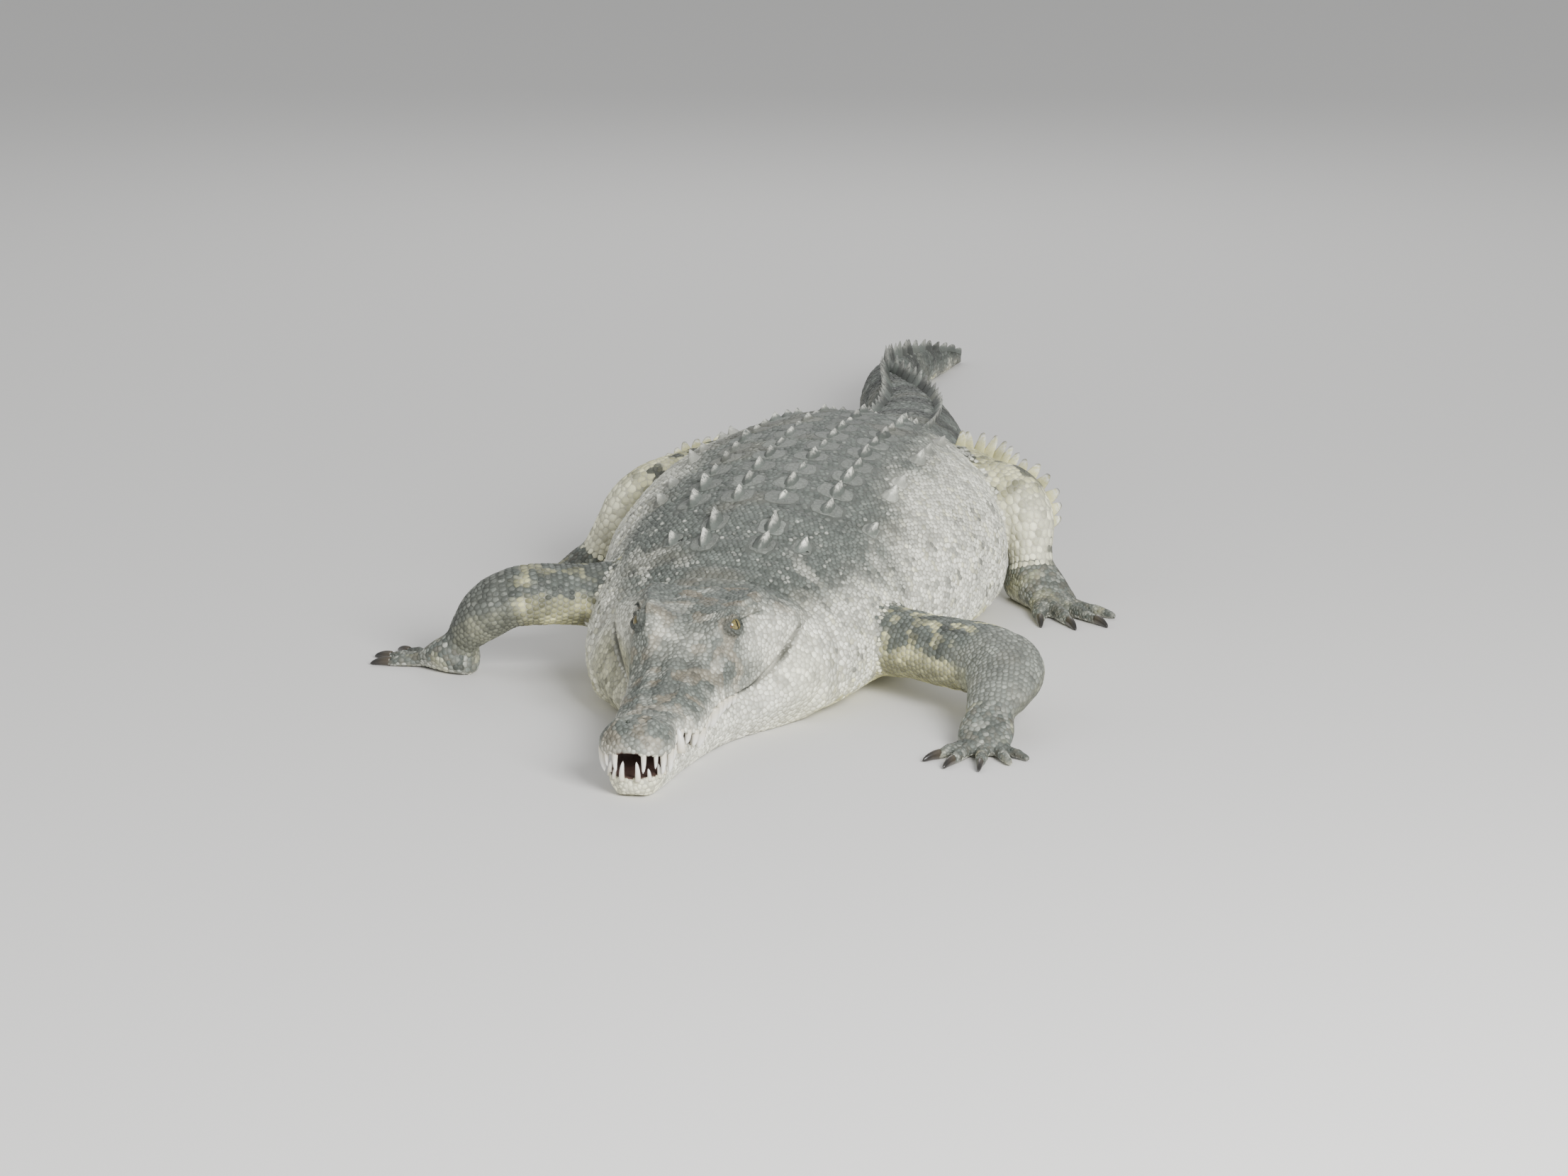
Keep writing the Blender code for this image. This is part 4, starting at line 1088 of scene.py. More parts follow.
def limb_marks(points, normals, name):
    share, turn = limb_numbers(points, name)
    grain, lumps = ripple(points, 0.016, 61.0), ripple(points, 0.045, 67.0)
    top = ease(-0.15, 0.40, normals[:, 2] + 0.30 * lumps + 0.2 * grain)
    patches = ease(-0.12, 0.22, ripple(points, 0.034, 63.0) + 0.5 * grain)
    bar = bars(share + 0.045 * lumps + 0.025 * grain, 0.125, 0.50)
    lower = ease(0.68, 0.78, share + 0.03 * lumps) if is_hind(name) else ease(0.56, 0.64, share)
    ahead, inner = foot_frame(name)
    if is_hind(name):
        front = ease(-0.45, 0.25, normals @ ahead + 0.3 * lumps)
        thigh_dark = 0.82 * ease(-0.05, 0.25, ripple(points, 0.030, 63.0) + 0.4 * grain)
        thigh_dark = thigh_dark * (0.35 + 0.65 * top)
        ankle = ease(0.82, 0.90, share) * bars(share + 0.01 * grain, 0.052, 0.34)
        ankle = ankle * ease(0.1, 0.6, -(normals @ inner))
        dark = thigh_dark * (1 - lower) + lower * np.maximum(0.60 * (1 - front), 0.75 * ankle)
        cream = 0.60 * (1 - lower) + 0.42 * lower * front
        pale = strongest(0.70 * (1 - top), 0.6 * bump(share, 0.66, 0.07), lower * front)
    else:
        dark = strongest(
            top * np.maximum(0.70 * patches * bar, 0.45 * patches) * (1 - lower),
            0.30 * lower * ease(-0.1, 0.4, grain),
            # painted shade on the undersides, broken up by noise
            0.62 * (1 - top) * ease(-0.8, 0.2, lumps + 0.5 * grain),
        )
        # the right arm gets more painted shade, as it lies on the side away from the light
        if name == "fore_right":
            dark = np.maximum(dark, 0.60 * ease(-0.9, 0.1, lumps + 0.5 * grain))
        spots = ease(0.05, 0.33, ripple(points, 0.024, 65.0))
        cream = (0.90 * (1 - top) + 0.60 * top * spots) * (1 - lower) + 0.30 * lower * (1 - top)
        pale = 0.20 * (1 - top) * (1 - lower) + 0.22 * lower
    return pale, cream, dark, 0.25 * ease(0.0, 0.5, lumps)


def foot_marks(points, normals, name):
    grain, lumps = ripple(points, 0.012, 71.0), ripple(points, 0.035, 73.0)
    pale = np.maximum(0.5 * fade(-0.6, -0.1, normals[:, 2]), 0.35 * ease(0.0, 0.4, -grain))
    ahead, inner = foot_frame(name)
    reach = (points - np.array(LIMBS[name]["end"])) @ ahead
    bar = bars(reach + 0.004 * lumps, 0.024, 0.36) * ease(0.05, 0.08, reach)
    dark = np.maximum(0.45 * bar, 0.45 * ease(0.0, 0.4, lumps + 0.3 * grain))
    cream = 0.30 * ease(0.05, 0.45, -lumps)
    return pale, cream, dark, 0.45 * ease(-0.1, 0.4, grain)


MARKS = ("pale", "cream", "dark", "brown")


def marks_at(points, normals, part):
    """A row of the four marks for each point, by the part that it is on."""
    marks = np.zeros((len(points), 4))

    def fill(mine, formula, *extra):
        if mine.any():
            marks[mine] = np.stack(formula(points[mine], normals[mine], *extra), axis=1)

    fill(part == body, body_marks)
    fill(in_head(part), head_marks)
    for name in LIMBS:
        fill(part == NUMBER_OF[name], limb_marks, name)
        fill(part == NUMBER_OF[name + " foot"], foot_marks, name)
    return np.clip(marks, 0.0, 1.0)


def store(mesh, name, values):
    """Writes one number for each vertex as an attribute."""
    attribute = mesh.attributes.new(name, "FLOAT", "POINT")
    attribute.data.foreach_set("value", np.ascontiguousarray(values, dtype=np.float32))


def store_marks(mesh, marks, copies=1):
    """Stores rows of the four marks, each row for this many vertices in a row."""
    for name, column in zip(MARKS, marks.T):
        store(mesh, name, np.repeat(column, copies))


def blend_marks(points, normals, part):
    """The marks, and on the neck behind the head a smooth passage between head and body."""
    marks = marks_at(points, normals, part)
    near = np.abs(points[:, 1] - HEAD_LENGTH) < 0.05
    near &= (part == body) | in_head(part)
    if near.any():
        behind = points[near, 1] - HEAD_LENGTH + 0.012 * ripple(points[near], 0.03)
        share = ease(-0.05, 0.05, behind)[:, None]
        on_head, on_body = (
            np.stack(formula(points[near], normals[near]), axis=1) for formula in (head_marks, body_marks)
        )
        marks[near] = np.clip(on_head * (1 - share) + on_body * share, 0, 1)
    return marks


skin_part = parts_at(skin_co)
skin_marks = blend_marks(skin_co, skin_normal, skin_part)
store_marks(skin.data, skin_marks)
store(skin.data, "tone", np.full(len(skin_co), 0.5))
store(skin.data, "rim", np.ones(len(skin_co)))
# the inside of the open mouth, which the bare skin's material paints dark as painted shade
p = to_left(skin_co)
lip_line = line_at(LIP, p[:, 1])
floor_line = lip_line[:, 1] - smooth_through(GAPE, p[:, 1])
mouth = (p[:, 1] < OPEN_TO) & (p[:, 0] < 0.95 * lip_line[:, 0])
above = (skin_part == head) & (p[:, 2] < lip_line[:, 1] + 0.007) & (skin_normal[:, 2] < 0.2)
below = (skin_part == jaw) & (p[:, 2] > floor_line - 0.008) & (skin_normal[:, 2] > 0.35)
store(skin.data, "mouth", (mouth & (above | below)).astype(float))
timed("marks:", dict(zip(MARKS, skin_marks.mean(0).round(2).tolist())))
# %% [markdown]
# One shader node group turns the marks into colour for the skin and for every kind of scale. It mixes
# grey-green hide, pale underside, cream plates, brown tints and dark bars, breaks them up with
# noise on Object coordinates, and paints shade in the grooves round the scales and in the cracks of
# the plates. The materials only differ in the values that they set: bare skin is darker, which paints
# shade in the gaps between the scales, and the plates of bone are paler and cracked. All node trees
# are built with the same few helpers, which take a number, a colour or another node's output.

# %% Helpers for node trees
GROUP_COLOURS = {
    "Hide": (0.128, 0.145, 0.128), "Pale Hide": (0.80, 0.80, 0.69), "Cream": (0.74, 0.71, 0.36),
    "Brown Tint": (0.210, 0.185, 0.135), "Dark Bars": (0.062, 0.068, 0.060),
    "Worn Ridge And Sheen": (0.82, 0.82, 0.72),
}
GROUP_AMOUNTS = {"Mottle": 0.5, "Groove Shade": 0.34, "Crackle": 0.0}
# the colour of the painted shade in the grooves round the scales and in the cracks of the plates
PAINTED_RECESS_SHADE = (0.055, 0.053, 0.042)


def new_socket(group, name, kind, value=None, direction="INPUT"):
    socket = group.interface.new_socket(name=name, in_out=direction, socket_type="NodeSocket" + kind)
    if value is not None:
        socket.default_value = value


def fill(tree, socket, value):
    """Links the socket if the value is another node's output, or else sets it."""
    if isinstance(value, bpy.types.NodeSocket):
        tree.links.new(value, socket)
    else:
        socket.default_value = (*value, 1.0) if socket.type == "RGBA" else value


def add_node(tree, kind, inputs=(), **settings):
    node = tree.nodes.new(kind)
    for key, value in settings.items():
        setattr(node, key, value)
    for key, value in dict(inputs).items():
        fill(tree, node.inputs[key], value)
    return node


def attribute(tree, name):
    return add_node(tree, "ShaderNodeAttribute", attribute_name=name).outputs["Fac"]


def texture(tree, scale, detail, roughness=0.5):
    place = add_node(tree, "ShaderNodeTexCoord").outputs["Object"]
    inputs = {"Vector": place, "Scale": scale, "Detail": detail, "Roughness": roughness}
    return add_node(tree, "ShaderNodeTexNoise", inputs)


def remap(tree, value, low, high, to_low=0.0, to_high=1.0):
    inputs = {"Value": value, "From Min": low, "From Max": high, "To Min": to_low, "To Max": to_high}
    return add_node(tree, "ShaderNodeMapRange", inputs, interpolation_type="SMOOTHSTEP").outputs["Result"]


def math_node(tree, operation, *values):
    return add_node(tree, "ShaderNodeMath", enumerate(values), operation=operation).outputs["Value"]


def mix(tree, factor, first, second):
    inputs = {"Factor": factor, 6: first, 7: second}
    return add_node(tree, "ShaderNodeMix", inputs, data_type="RGBA").outputs[2]


def vector_node(tree, operation, inputs):
    return add_node(tree, "ShaderNodeVectorMath", inputs, operation=operation).outputs["Vector"]


# %% The marking group


def make_marking_group():
    group = bpy.data.node_groups.new("crocodile markings", "ShaderNodeTree")
    for name, colour in GROUP_COLOURS.items():
        new_socket(group, name, "Color", (*colour, 1.0))
    for name, amount in GROUP_AMOUNTS.items():
        new_socket(group, name, "Float", amount)
    for name, kind in (("Color", "Color"), ("Roughness", "Float"), ("Height", "Float")):
        new_socket(group, name, kind, direction="OUTPUT")
    given = add_node(group, "NodeGroupInput").outputs
    coarse = texture(group, 26.0, 4.0, 0.6).outputs["Fac"]
    fine = texture(group, 150.0, 5.0, 0.65).outputs["Fac"]
    dust = texture(group, 620.0, 3.0, 0.6).outputs["Fac"]
    broken = math_node(group, "MULTIPLY_ADD", fine, 0.5, -0.25)
    # each mark covers what is under it, with its edge broken up by fine noise
    colour = given["Hide"]
    for mark, covering, low, high in (
        ("brown", "Brown Tint", 0.0, 1.0), ("pale", "Pale Hide", 0.0, 1.0),
        ("cream", "Cream", 0.0, 1.0), ("dark", "Dark Bars", 0.05, 0.95),
    ):
        soft = math_node(group, "MULTIPLY", broken, given["Mottle"])
        strength = remap(group, math_node(group, "ADD", attribute(group, mark), soft), low, high)
        colour = mix(group, strength, colour, given[covering])
    # pale tops: wear on scattered scales and on the plates, and on the keels' ridges partly a painted
    # highlight
    worn_and_sheen = math_node(group, "MULTIPLY", attribute(group, "worn_and_sheen"), remap(group, fine, 0.34, 0.60))
    colour = mix(group, worn_and_sheen, colour, given["Worn Ridge And Sheen"])
    # each scale's own tone, larger cloudiness and fine grain
    tone = remap(group, attribute(group, "tone"), 0.0, 1.0, 0.66, 1.36)
    tone = math_node(group, "MULTIPLY", tone, remap(group, coarse, 0.30, 0.70, 0.84, 1.16))
    tone = math_node(group, "MULTIPLY", tone, remap(group, dust, 0.30, 0.70, 0.90, 1.10))
    shade = vector_node(group, "SCALE", {0: colour, "Scale": tone})
    # painted shade in the groove round each scale, darkest at its edge, as strong as Groove Shade sets
    groove = remap(group, attribute(group, "rim"), 0.0, 0.85, 1.0, 0.0)
    colour = mix(group, math_node(group, "MULTIPLY", groove, given["Groove Shade"]), shade, PAINTED_RECESS_SHADE)
    # cracks that part the plates of bone into irregular pieces, with painted shade in them
    shift = texture(group, 90.0, 2.0).outputs["Color"]
    place = add_node(group, "ShaderNodeTexCoord").outputs["Object"]
    wobble = vector_node(group, "MULTIPLY_ADD", {0: shift, 1: (0.008, 0.008, 0.008), 2: place})
    lattice = {"Vector": wobble, "Scale": 88.0}
    cells = add_node(group, "ShaderNodeTexVoronoi", lattice, feature="DISTANCE_TO_EDGE")
    crack = remap(group, cells.outputs["Distance"], 0.0, 0.14, 1.0, 0.0)
    crack = math_node(group, "MULTIPLY", crack, given["Crackle"])
    lumps = math_node(group, "ADD", coarse, math_node(group, "MULTIPLY", fine, 0.6))
    grain = math_node(group, "MULTIPLY", fine, 0.7)
    grain = math_node(group, "ADD", grain, math_node(group, "MULTIPLY", dust, 0.3))
    add_node(group, "NodeGroupOutput", {
        "Color": mix(group, math_node(group, "MULTIPLY", crack, 0.6), colour, PAINTED_RECESS_SHADE),
        "Roughness": remap(group, lumps, 0.5, 1.1, 0.40, 0.66),
        "Height": math_node(group, "SUBTRACT", grain, crack),
    })
    return group


MARKING = make_marking_group()


def new_material(name, **values):
    """A material, its node tree and its shader, with values set on the shader's own sockets."""
    material = bpy.data.materials.new(name)
    material.use_nodes = True
    tree = material.node_tree
    shader = tree.nodes["Principled BSDF"]
    set_inputs(tree, shader, values)
    return material, tree, shader


def set_inputs(tree, node, values):
    for key, value in values.items():
        fill(tree, node.inputs[key.replace("_", " ").title().replace("Ior", "IOR")], value)


def bumped(tree, height, distance, strength=1.0):
    inputs = {"Height": height, "Distance": distance, "Strength": strength}
    return add_node(tree, "ShaderNodeBump", inputs).outputs["Normal"]


def hide_material(name, bump_height, shaded_lining=None, **values):
    """A material whose colour comes from the marking group, with its own values set on it."""
    material, tree, shader = new_material(name, specular_ior_level=0.4)
    marking = add_node(tree, "ShaderNodeGroup", node_tree=MARKING)
    set_inputs(tree, marking, values)
    colour = marking.outputs["Color"]
    # inside the mouth the colour gives way to a dark lining, painted shade
    if shaded_lining is not None:
        colour = mix(tree, attribute(tree, "mouth"), colour, shaded_lining)
    set_inputs(tree, shader, {
        "base_color": colour, "roughness": marking.outputs["Roughness"],
        "normal": bumped(tree, marking.outputs["Height"], bump_height),
    })
    return material


# the bare skin shows mostly in the gaps between the scales, and its darker colours paint shade there
SKIN_FINISH = hide_material(
    "bare skin", 0.0009, shaded_lining=(0.10, 0.060, 0.050), hide=(0.105, 0.115, 0.100),
    pale_hide=(0.50, 0.49, 0.41), cream=(0.66, 0.64, 0.46), groove_shade=0.0,
)
print("marking group:", len(MARKING.nodes), "nodes")

# %% [markdown]
# A crocodile's scales don't lie on the skin like tiles of one size: each one fills the room that its
# neighbours leave. So the coat is made in two steps. First come the roots, the places of the scales:
# in cross rows on the trunk, in rings on the tail and limbs, and evenly strewn where there are no
# rows. Then each scale grows to the border with its neighbours, along eight rays in its own plane.
# That gives hexagons, squares and irregular plates without naming any of them.

# %% Roots of scales
skin_tree = BVHTree.FromPolygons([tuple(v) for v in skin_co], skin_tris.tolist())
ROOT_FIELDS = ("point", "normal", "lie", "half", "longer", "height", "part", "piece")
PIECES = [
    "scales_snout", "scales_jaws", "scales_nape", "scales_flank_left", "scales_flank_right",
    "scales_belly", "scales_back", "scales_tail", "scales_fore_limbs", "scales_hind_limbs",
]
PIECE_NUMBER = {name: number for number, name in enumerate(PIECES)}
DENSITY = 1.0


def drop_to_skin(points, reach=0.010):
    """The nearest places on the skin, the smooth normals there, and which points had skin near."""
    hits = [skin_tree.find_nearest(p) for p in points.tolist()]
    place = np.array([h[0] for h in hits])
    face = np.array([h[2] for h in hits])
    near = np.array([h[3] for h in hits]) < reach
    corners = skin_tris[face]
    weights = 1.0 / (np.linalg.norm(skin_co[corners] - place[:, None], axis=2) + 1e-5)
    normals = (skin_normal[corners] * weights[..., None]).sum(1)
    return place, normals / np.linalg.norm(normals, axis=1, keepdims=True), near


def flatten_to(normals, directions):
    """The directions laid into the planes of the normals, at unit length."""
    flat = directions - normals * (directions * normals).sum(1, keepdims=True)
    return flat / np.maximum(1e-6, np.linalg.norm(flat, axis=1, keepdims=True))


def spine_direction(points):
    """Towards the tip of the tail, along the body's line."""
    along = body_numbers(points)[0]
    turn = np.interp(along, STEPS, TURNS)
    return np.stack([np.sin(turn), np.cos(turn), np.zeros(len(points))], axis=1)


def roots(points, lie, half, longer, height, part, piece, reach=0.010):
    """Scales with their roots on the skin, as a table of arrays; those too far from it are left out."""
    place, normals, near = drop_to_skin(points, reach)
    columns = (np.broadcast_to(value, len(points)) for value in (half, longer, height, part, piece))
    fields = dict(zip(ROOT_FIELDS, (place, normals, flatten_to(normals, lie), *columns)))
    return chosen(fields, near)


def gather(tables):
    return {key: np.concatenate([t[key] for t in tables]) for key in ROOT_FIELDS}


def chosen(table, keep):
    return {key: value[keep] for key, value in table.items()}


def tree_of(points):
    """The points, ready to be searched by place."""
    tree = kdtree.KDTree(len(points))
    for number, point in enumerate(points.tolist()):
        tree.insert(point, number)
    tree.balance()
    return tree


SHIELD_EDGE = 0.150  # out from the middle of the back, at the widest


def shield_narrowing(along):
    share = (along - NECK_END) / (TRUNK_END - NECK_END)
    return 1.0 - 0.45 * np.clip((share - 0.55) / 0.45, 0.0, 1.0)


def ring_of_body(along):
    """Angles round one cross section, the distance round it from the middle of the back, and its points."""
    turns = np.linspace(math.pi / 2, math.pi / 2 - 2 * math.pi, 721)
    points = body_skin(np.full(len(turns), along), turns)
    return turns, distance_along(points), points


def belly_edge(along):
    """Distances round the section to where the left flank turns under the body, and all the way round."""
    _, around, points = ring_of_body(along)
    half_way = len(points) // 2
    low = np.nonzero(points[: half_way + 1, 2] < 0.020 * (1 - 0.4 * ease(2.0, 3.4, along)))[0]
    return around[low[0]], around[-1]


rows = []


def add_row(along, start, end, pitch, index, height, piece, longer, jitter):
    """One cross row: scales at an even pitch between two distances round the section."""
    if end - start < 0.5 * pitch:
        return
    turns, around, _ = ring_of_body(along)
    count = max(1, round((end - start) / (pitch * DENSITY)))
    real = (end - start) / count
    where = start + (np.arange(count) + (0.0 if index % 2 == 1 else 0.5)) * real
    where = where + rng.uniform(-jitter, jitter, count) * real
    turn = np.interp(where, around, turns)
    places = along + rng.uniform(-jitter, jitter, count) * real * longer
    spots = body_skin(places, turn)
    lie = spine_direction(spots)
    rows.append(roots(spots, lie, real / 2, longer, height, body, PIECE_NUMBER[piece]))


along, index = HEAD_LENGTH + 0.045, 0
while along < TRUNK_END + 0.01:
    edge, whole = belly_edge(along)
    pitch = 0.0086 + 0.0010 * float(ease(0.7, 1.1, along))
    if along < NECK_END - 0.01:
        shield, height, longer, jitter = 0.0, 0.0009, 1.0, 0.20
        left, right = "scales_nape", "scales_nape"
    else:
        shield, height, longer, jitter = (SHIELD_EDGE + 0.010) * shield_narrowing(along), 0.0010, 1.12, 0.24
        left, right = "scales_flank_left", "scales_flank_right"
    add_row(along, shield, edge, pitch, index, height, left, longer, jitter)
    add_row(along, whole - edge, whole - shield, pitch, index, height, right, longer, jitter)
    along += pitch * DENSITY
    index += 1
BELLY_START, BELLY_PITCH = 0.60, 0.0290
for index in range(int((TRUNK_END - BELLY_START) / BELLY_PITCH)):
    along = BELLY_START + (index + 0.5) * BELLY_PITCH
    edge, whole = belly_edge(along)
    add_row(along, edge, whole - edge, 0.0215 / DENSITY, 0, 0.0010, "scales_belly", 1.35, 0.02)
for whorl in range(TAIL_WHORLS):
    along = TRUNK_END + (whorl + 0.5) * WHORL_PITCH
    whole = ring_of_body(along)[1][-1]
    width = 0.0225 - 0.008 * whorl / TAIL_WHORLS
    add_row(along, 0.0, whole, width / DENSITY, whorl, 0.0013, "scales_tail", WHORL_PITCH / width, 0.03)
print("rows on the body:", sum(len(r["half"]) for r in rows))

# %% Rings round the limbs


def limb_piece(name):
    return PIECE_NUMBER["scales_hind_limbs" if is_hind(name) else "scales_fore_limbs"]


for name in LIMBS:
    path = limb_line(LIMBS[name], np.linspace(0, 1, 60))[0]
    length = np.linalg.norm(np.diff(path, axis=0), axis=1).sum()
    share, index = 0.10, 0
    while share < 0.985:
        fine = 0.0092 + (0.0055 * float(bump(share, 0.80, 0.14)) if is_hind(name) else 0.0)
        pitch = fine * DENSITY
        fine_turns = np.linspace(0, 2 * math.pi, 361)
        around = distance_along(limb_surface(name, np.array([share]), fine_turns)[0])
        count = max(6, round(around[-1] / pitch))
        where = (np.arange(count) + 0.5 * (index % 2) + rng.uniform(-0.14, 0.14, count)) % count
        turn = np.interp(where * around[-1] / count, around, fine_turns)
        shares = share + rng.uniform(-0.12, 0.12, count) * pitch / length
        spots = np.array([
            limb_surface(name, np.array([s]), np.array([t]))[0, 0] for s, t in zip(shares, turn)
        ])
        ahead = limb_line(LIMBS[name], shares)[1]
        half = around[-1] / count / 2
        rise = 0.0007 if is_hind(name) else 0.0010
        rows.append(roots(spots, ahead, half, 1.05, rise, NUMBER_OF[name], limb_piece(name), reach=0.006))
        share += pitch * 1.02 / length
        index += 1
print("with the limbs:", sum(len(r["half"]) for r in rows))

# %% [markdown]
# The back carries bony shields in rows across it, four regular ones and a broken, spikier row along
# each side, and the nape has six more. Their outlines are set, not grown, so the scales around them
# have to stop at their edge: rings of markers stand round every shield for that.

# %% Shields
shield_tables, shield_keels = [], []


def angle_beside(along, out):
    half = float(body_column(1, along))
    return math.acos(max(-0.95, min(0.95, out / half)))


def add_shield(along, out, half_length, half_width, height, keel_length, keel_height):
    spot = body_skin(np.array([along]), np.array([angle_beside(along, out)]))
    table = roots(spot, spine_direction(spot), half_width, half_length / half_width, height, body,
                  PIECE_NUMBER["scales_back"])
    shield_tables.append(table)
    shield_keels.append((table["point"][0], table["normal"][0], table["lie"][0], keel_length, keel_height))


for row in range(BACK_ROWS):
    along = NECK_END + row * SCUTE_PITCH + 0.034
    share = (along - NECK_END) / (TRUNK_END - NECK_END)
    narrow = float(shield_narrowing(along))
    for side in (-1, 1):
        wobble = rng.uniform(-0.002, 0.002, 2)
        low, mid, edge = rng.uniform((0.007, 0.011, 0.015), (0.018, 0.023, 0.026))
        add_shield(along, side * 0.037 * narrow + wobble[0], 0.0265, 0.0285 * narrow, 0.0010, 0.048, low)
        add_shield(along, side * 0.112 * narrow + wobble[1], 0.0260, 0.0290 * narrow, 0.0010, 0.048, mid)
        if share < 0.62 and row % 3 != (0 if side < 0 else 1):
            add_shield(along, side * 0.187 * narrow, 0.0200, 0.0140, 0.0012, 0.040, edge)
for side in (-1, 1):
    for along in (0.690, 0.755):
        add_shield(along, side * 0.048, 0.0280, 0.0220, 0.0012, 0.054, 0.0260)
    add_shield(0.715, side * 0.108, 0.0220, 0.0170, 0.0012, 0.044, 0.0200)
shields = gather(shield_tables)
print("shields:", len(shields["half"]))

# %% Clearing rows from under the shields, and thinning where rings meet


def each_shield():
    """(middle, half length, half width, lengthwise, crosswise, upwards) of every shield."""
    for p, n, a, half, longer in zip(*(shields[k] for k in ("point", "normal", "lie", "half", "longer"))):
        yield p, half * longer, half, a, np.cross(n, a), n


def inside_shields(points, margin):
    """True for points that lie on a shield, or within the margin round it."""
    hit = np.zeros(len(points), bool)
    for middle, length, width, ahead, beside, up in each_shield():
        offset = points - middle
        along, across = offset @ ahead / (length + margin), offset @ beside / (width + margin)
        hit |= (along**4 + across**4 < 1.0) & (np.abs(offset @ up) < 0.03)
    return hit


def visible_skin(points, normals, part):
    """False inside the mouth, behind the lids, in the nostrils and in the slits of the ears."""
    p = to_left(points)
    out, along, height = p.T
    lip = line_at(LIP, along)
    lower = lip[:, 1] - smooth_through(GAPE, along)
    open_front = along < OPEN_TO
    palate = (part == head) & open_front & (out < 0.93 * lip[:, 0]) & (height < lip[:, 1] + 0.009)
    mouth_floor = (part == jaw) & open_front & (height > lower - 0.010) & (normals[:, 2] > 0.45)
    inside, distance, _, offset = eye_opening(points)
    level = np.abs(offset @ EYE_UP + 0.0004) < 0.0030
    between = (np.abs(offset @ EYE_BACK) < 0.0175) & (level | (inside > -0.16))
    at_eye = (distance < 0.03) & between
    hidden = palate | mouth_floor | at_eye | (nostril(points) > 0.35) | (ear_slit(points)[0] < 0.0028)
    hidden |= mouth_seam(points) > 0.40
    return ~(hidden & in_head(part))


ROW_SPACING, STREWN_SPACING = 0.62, 0.84  # least distance between roots, by the sum of their halves


def thin_out(table, existing, spacing):
    """Keeps scales, in a random order, that are far enough from those kept before and from existing."""
    count = len(table["half"])
    alive = np.ones(count, bool)
    if existing is not None:
        known = tree_of(existing["point"])
        for i, (p, half) in enumerate(zip(table["point"].tolist(), table["half"])):
            found = known.find(p)
            if found[2] < spacing * (half + existing["half"][found[1]]):
                alive[i] = False
    tree = tree_of(table["point"])
    widest = float(table["half"].max())
    for i in rng.permutation(count):
        if alive[i]:
            p, half = table["point"][i], table["half"][i]
            for _, j, distance in tree.find_range(p, spacing * (half + widest)):
                if j != i and distance < spacing * (half + table["half"][j]):
                    alive[j] = False
    return chosen(table, alive)


coat = gather(rows)
coat = chosen(coat, ~inside_shields(coat["point"], 0.0035))
coat = thin_out(coat, None, ROW_SPACING)
timed("rows after clearing:", len(coat["half"]))

# %% [markdown]
# The head, the hands and feet, and the strips between the shields have no rows. There, candidates are
# strewn over the skin by area and thinned to the spacing that the place asks for: finest round the
# eyes and on the lips, coarser on the jaws and the throat.

# %% Strewn roots


def local_half(points, part):
    """Half the spacing of strewn scales at each place, in metres."""
    p = to_left(points)
    out, along, height = p.T
    face = 0.0037 + 0.0007 * ripple(points, 0.035, 91.0)
    face = face - 0.0013 * bump(np.linalg.norm(p - EYE_CENTRE, axis=1), 0.018, 0.016)
    face = face - 0.0006 * bump(height, line_at(LIP, along)[:, 1], 0.012)
    jaws = 0.0034 + 0.0008 * ease(0.20, 0.50, along)
    half = np.where(part == head, face, np.where(part == jaw, jaws, 0.0042))
    for name in LIMBS:
        reach = (points - np.array(LIMBS[name]["end"])) @ foot_frame(name)[0]
        foot = 0.0040 - 0.0012 * ease(0.06, 0.10, reach)
        half = np.where(part == NUMBER_OF[name + " foot"], foot, half)
    return half * DENSITY


def strew(per_square_metre):
    """Candidates all over the skin, by area, with the local spacing."""
    a, b, c = (skin_co[skin_tris[:, k]] for k in range(3))
    area = np.linalg.norm(np.cross(b - a, c - a), axis=1) / 2
    part = skin_part[skin_tris[:, 0]]
    wanted = np.where(in_head(part) | in_foot(part), 3.2, 1.0) * per_square_metre * area
    total = running(wanted)
    picks = np.searchsorted(total, rng.uniform(0, total[-1], int(total[-1]))) - 1
    u, v = rng.random((2, len(picks), 1))
    flip = u + v > 1
    u, v = np.where(flip, 1 - u, u), np.where(flip, 1 - v, v)
    points = a[picks] + (b[picks] - a[picks]) * u + (c[picks] - a[picks]) * v
    return points, part[picks]


def piece_at(points, part):
    """The coat piece that a strewn scale goes into."""
    along, out, height = body_numbers(points)
    number = np.full(len(points), PIECE_NUMBER["scales_nape"])
    behind = along > NECK_END - 0.01
    on_back = behind & (np.abs(out) < SHIELD_EDGE * shield_narrowing(along)) & (height > 0.15)
    for piece, mine in (
        ("scales_flank_left", behind & (out > 0)), ("scales_flank_right", behind & (out <= 0)),
        ("scales_back", on_back), ("scales_tail", along > TRUNK_END),
        ("scales_belly", (along > 0.58) & (height < 0.012) & (along < TRUNK_END)),
        ("scales_snout", part == head), ("scales_jaws", part == jaw),
    ):
        number[mine] = PIECE_NUMBER[piece]
    for name in LIMBS:
        number[(part == NUMBER_OF[name]) | (part == NUMBER_OF[name + " foot"])] = limb_piece(name)
    return number


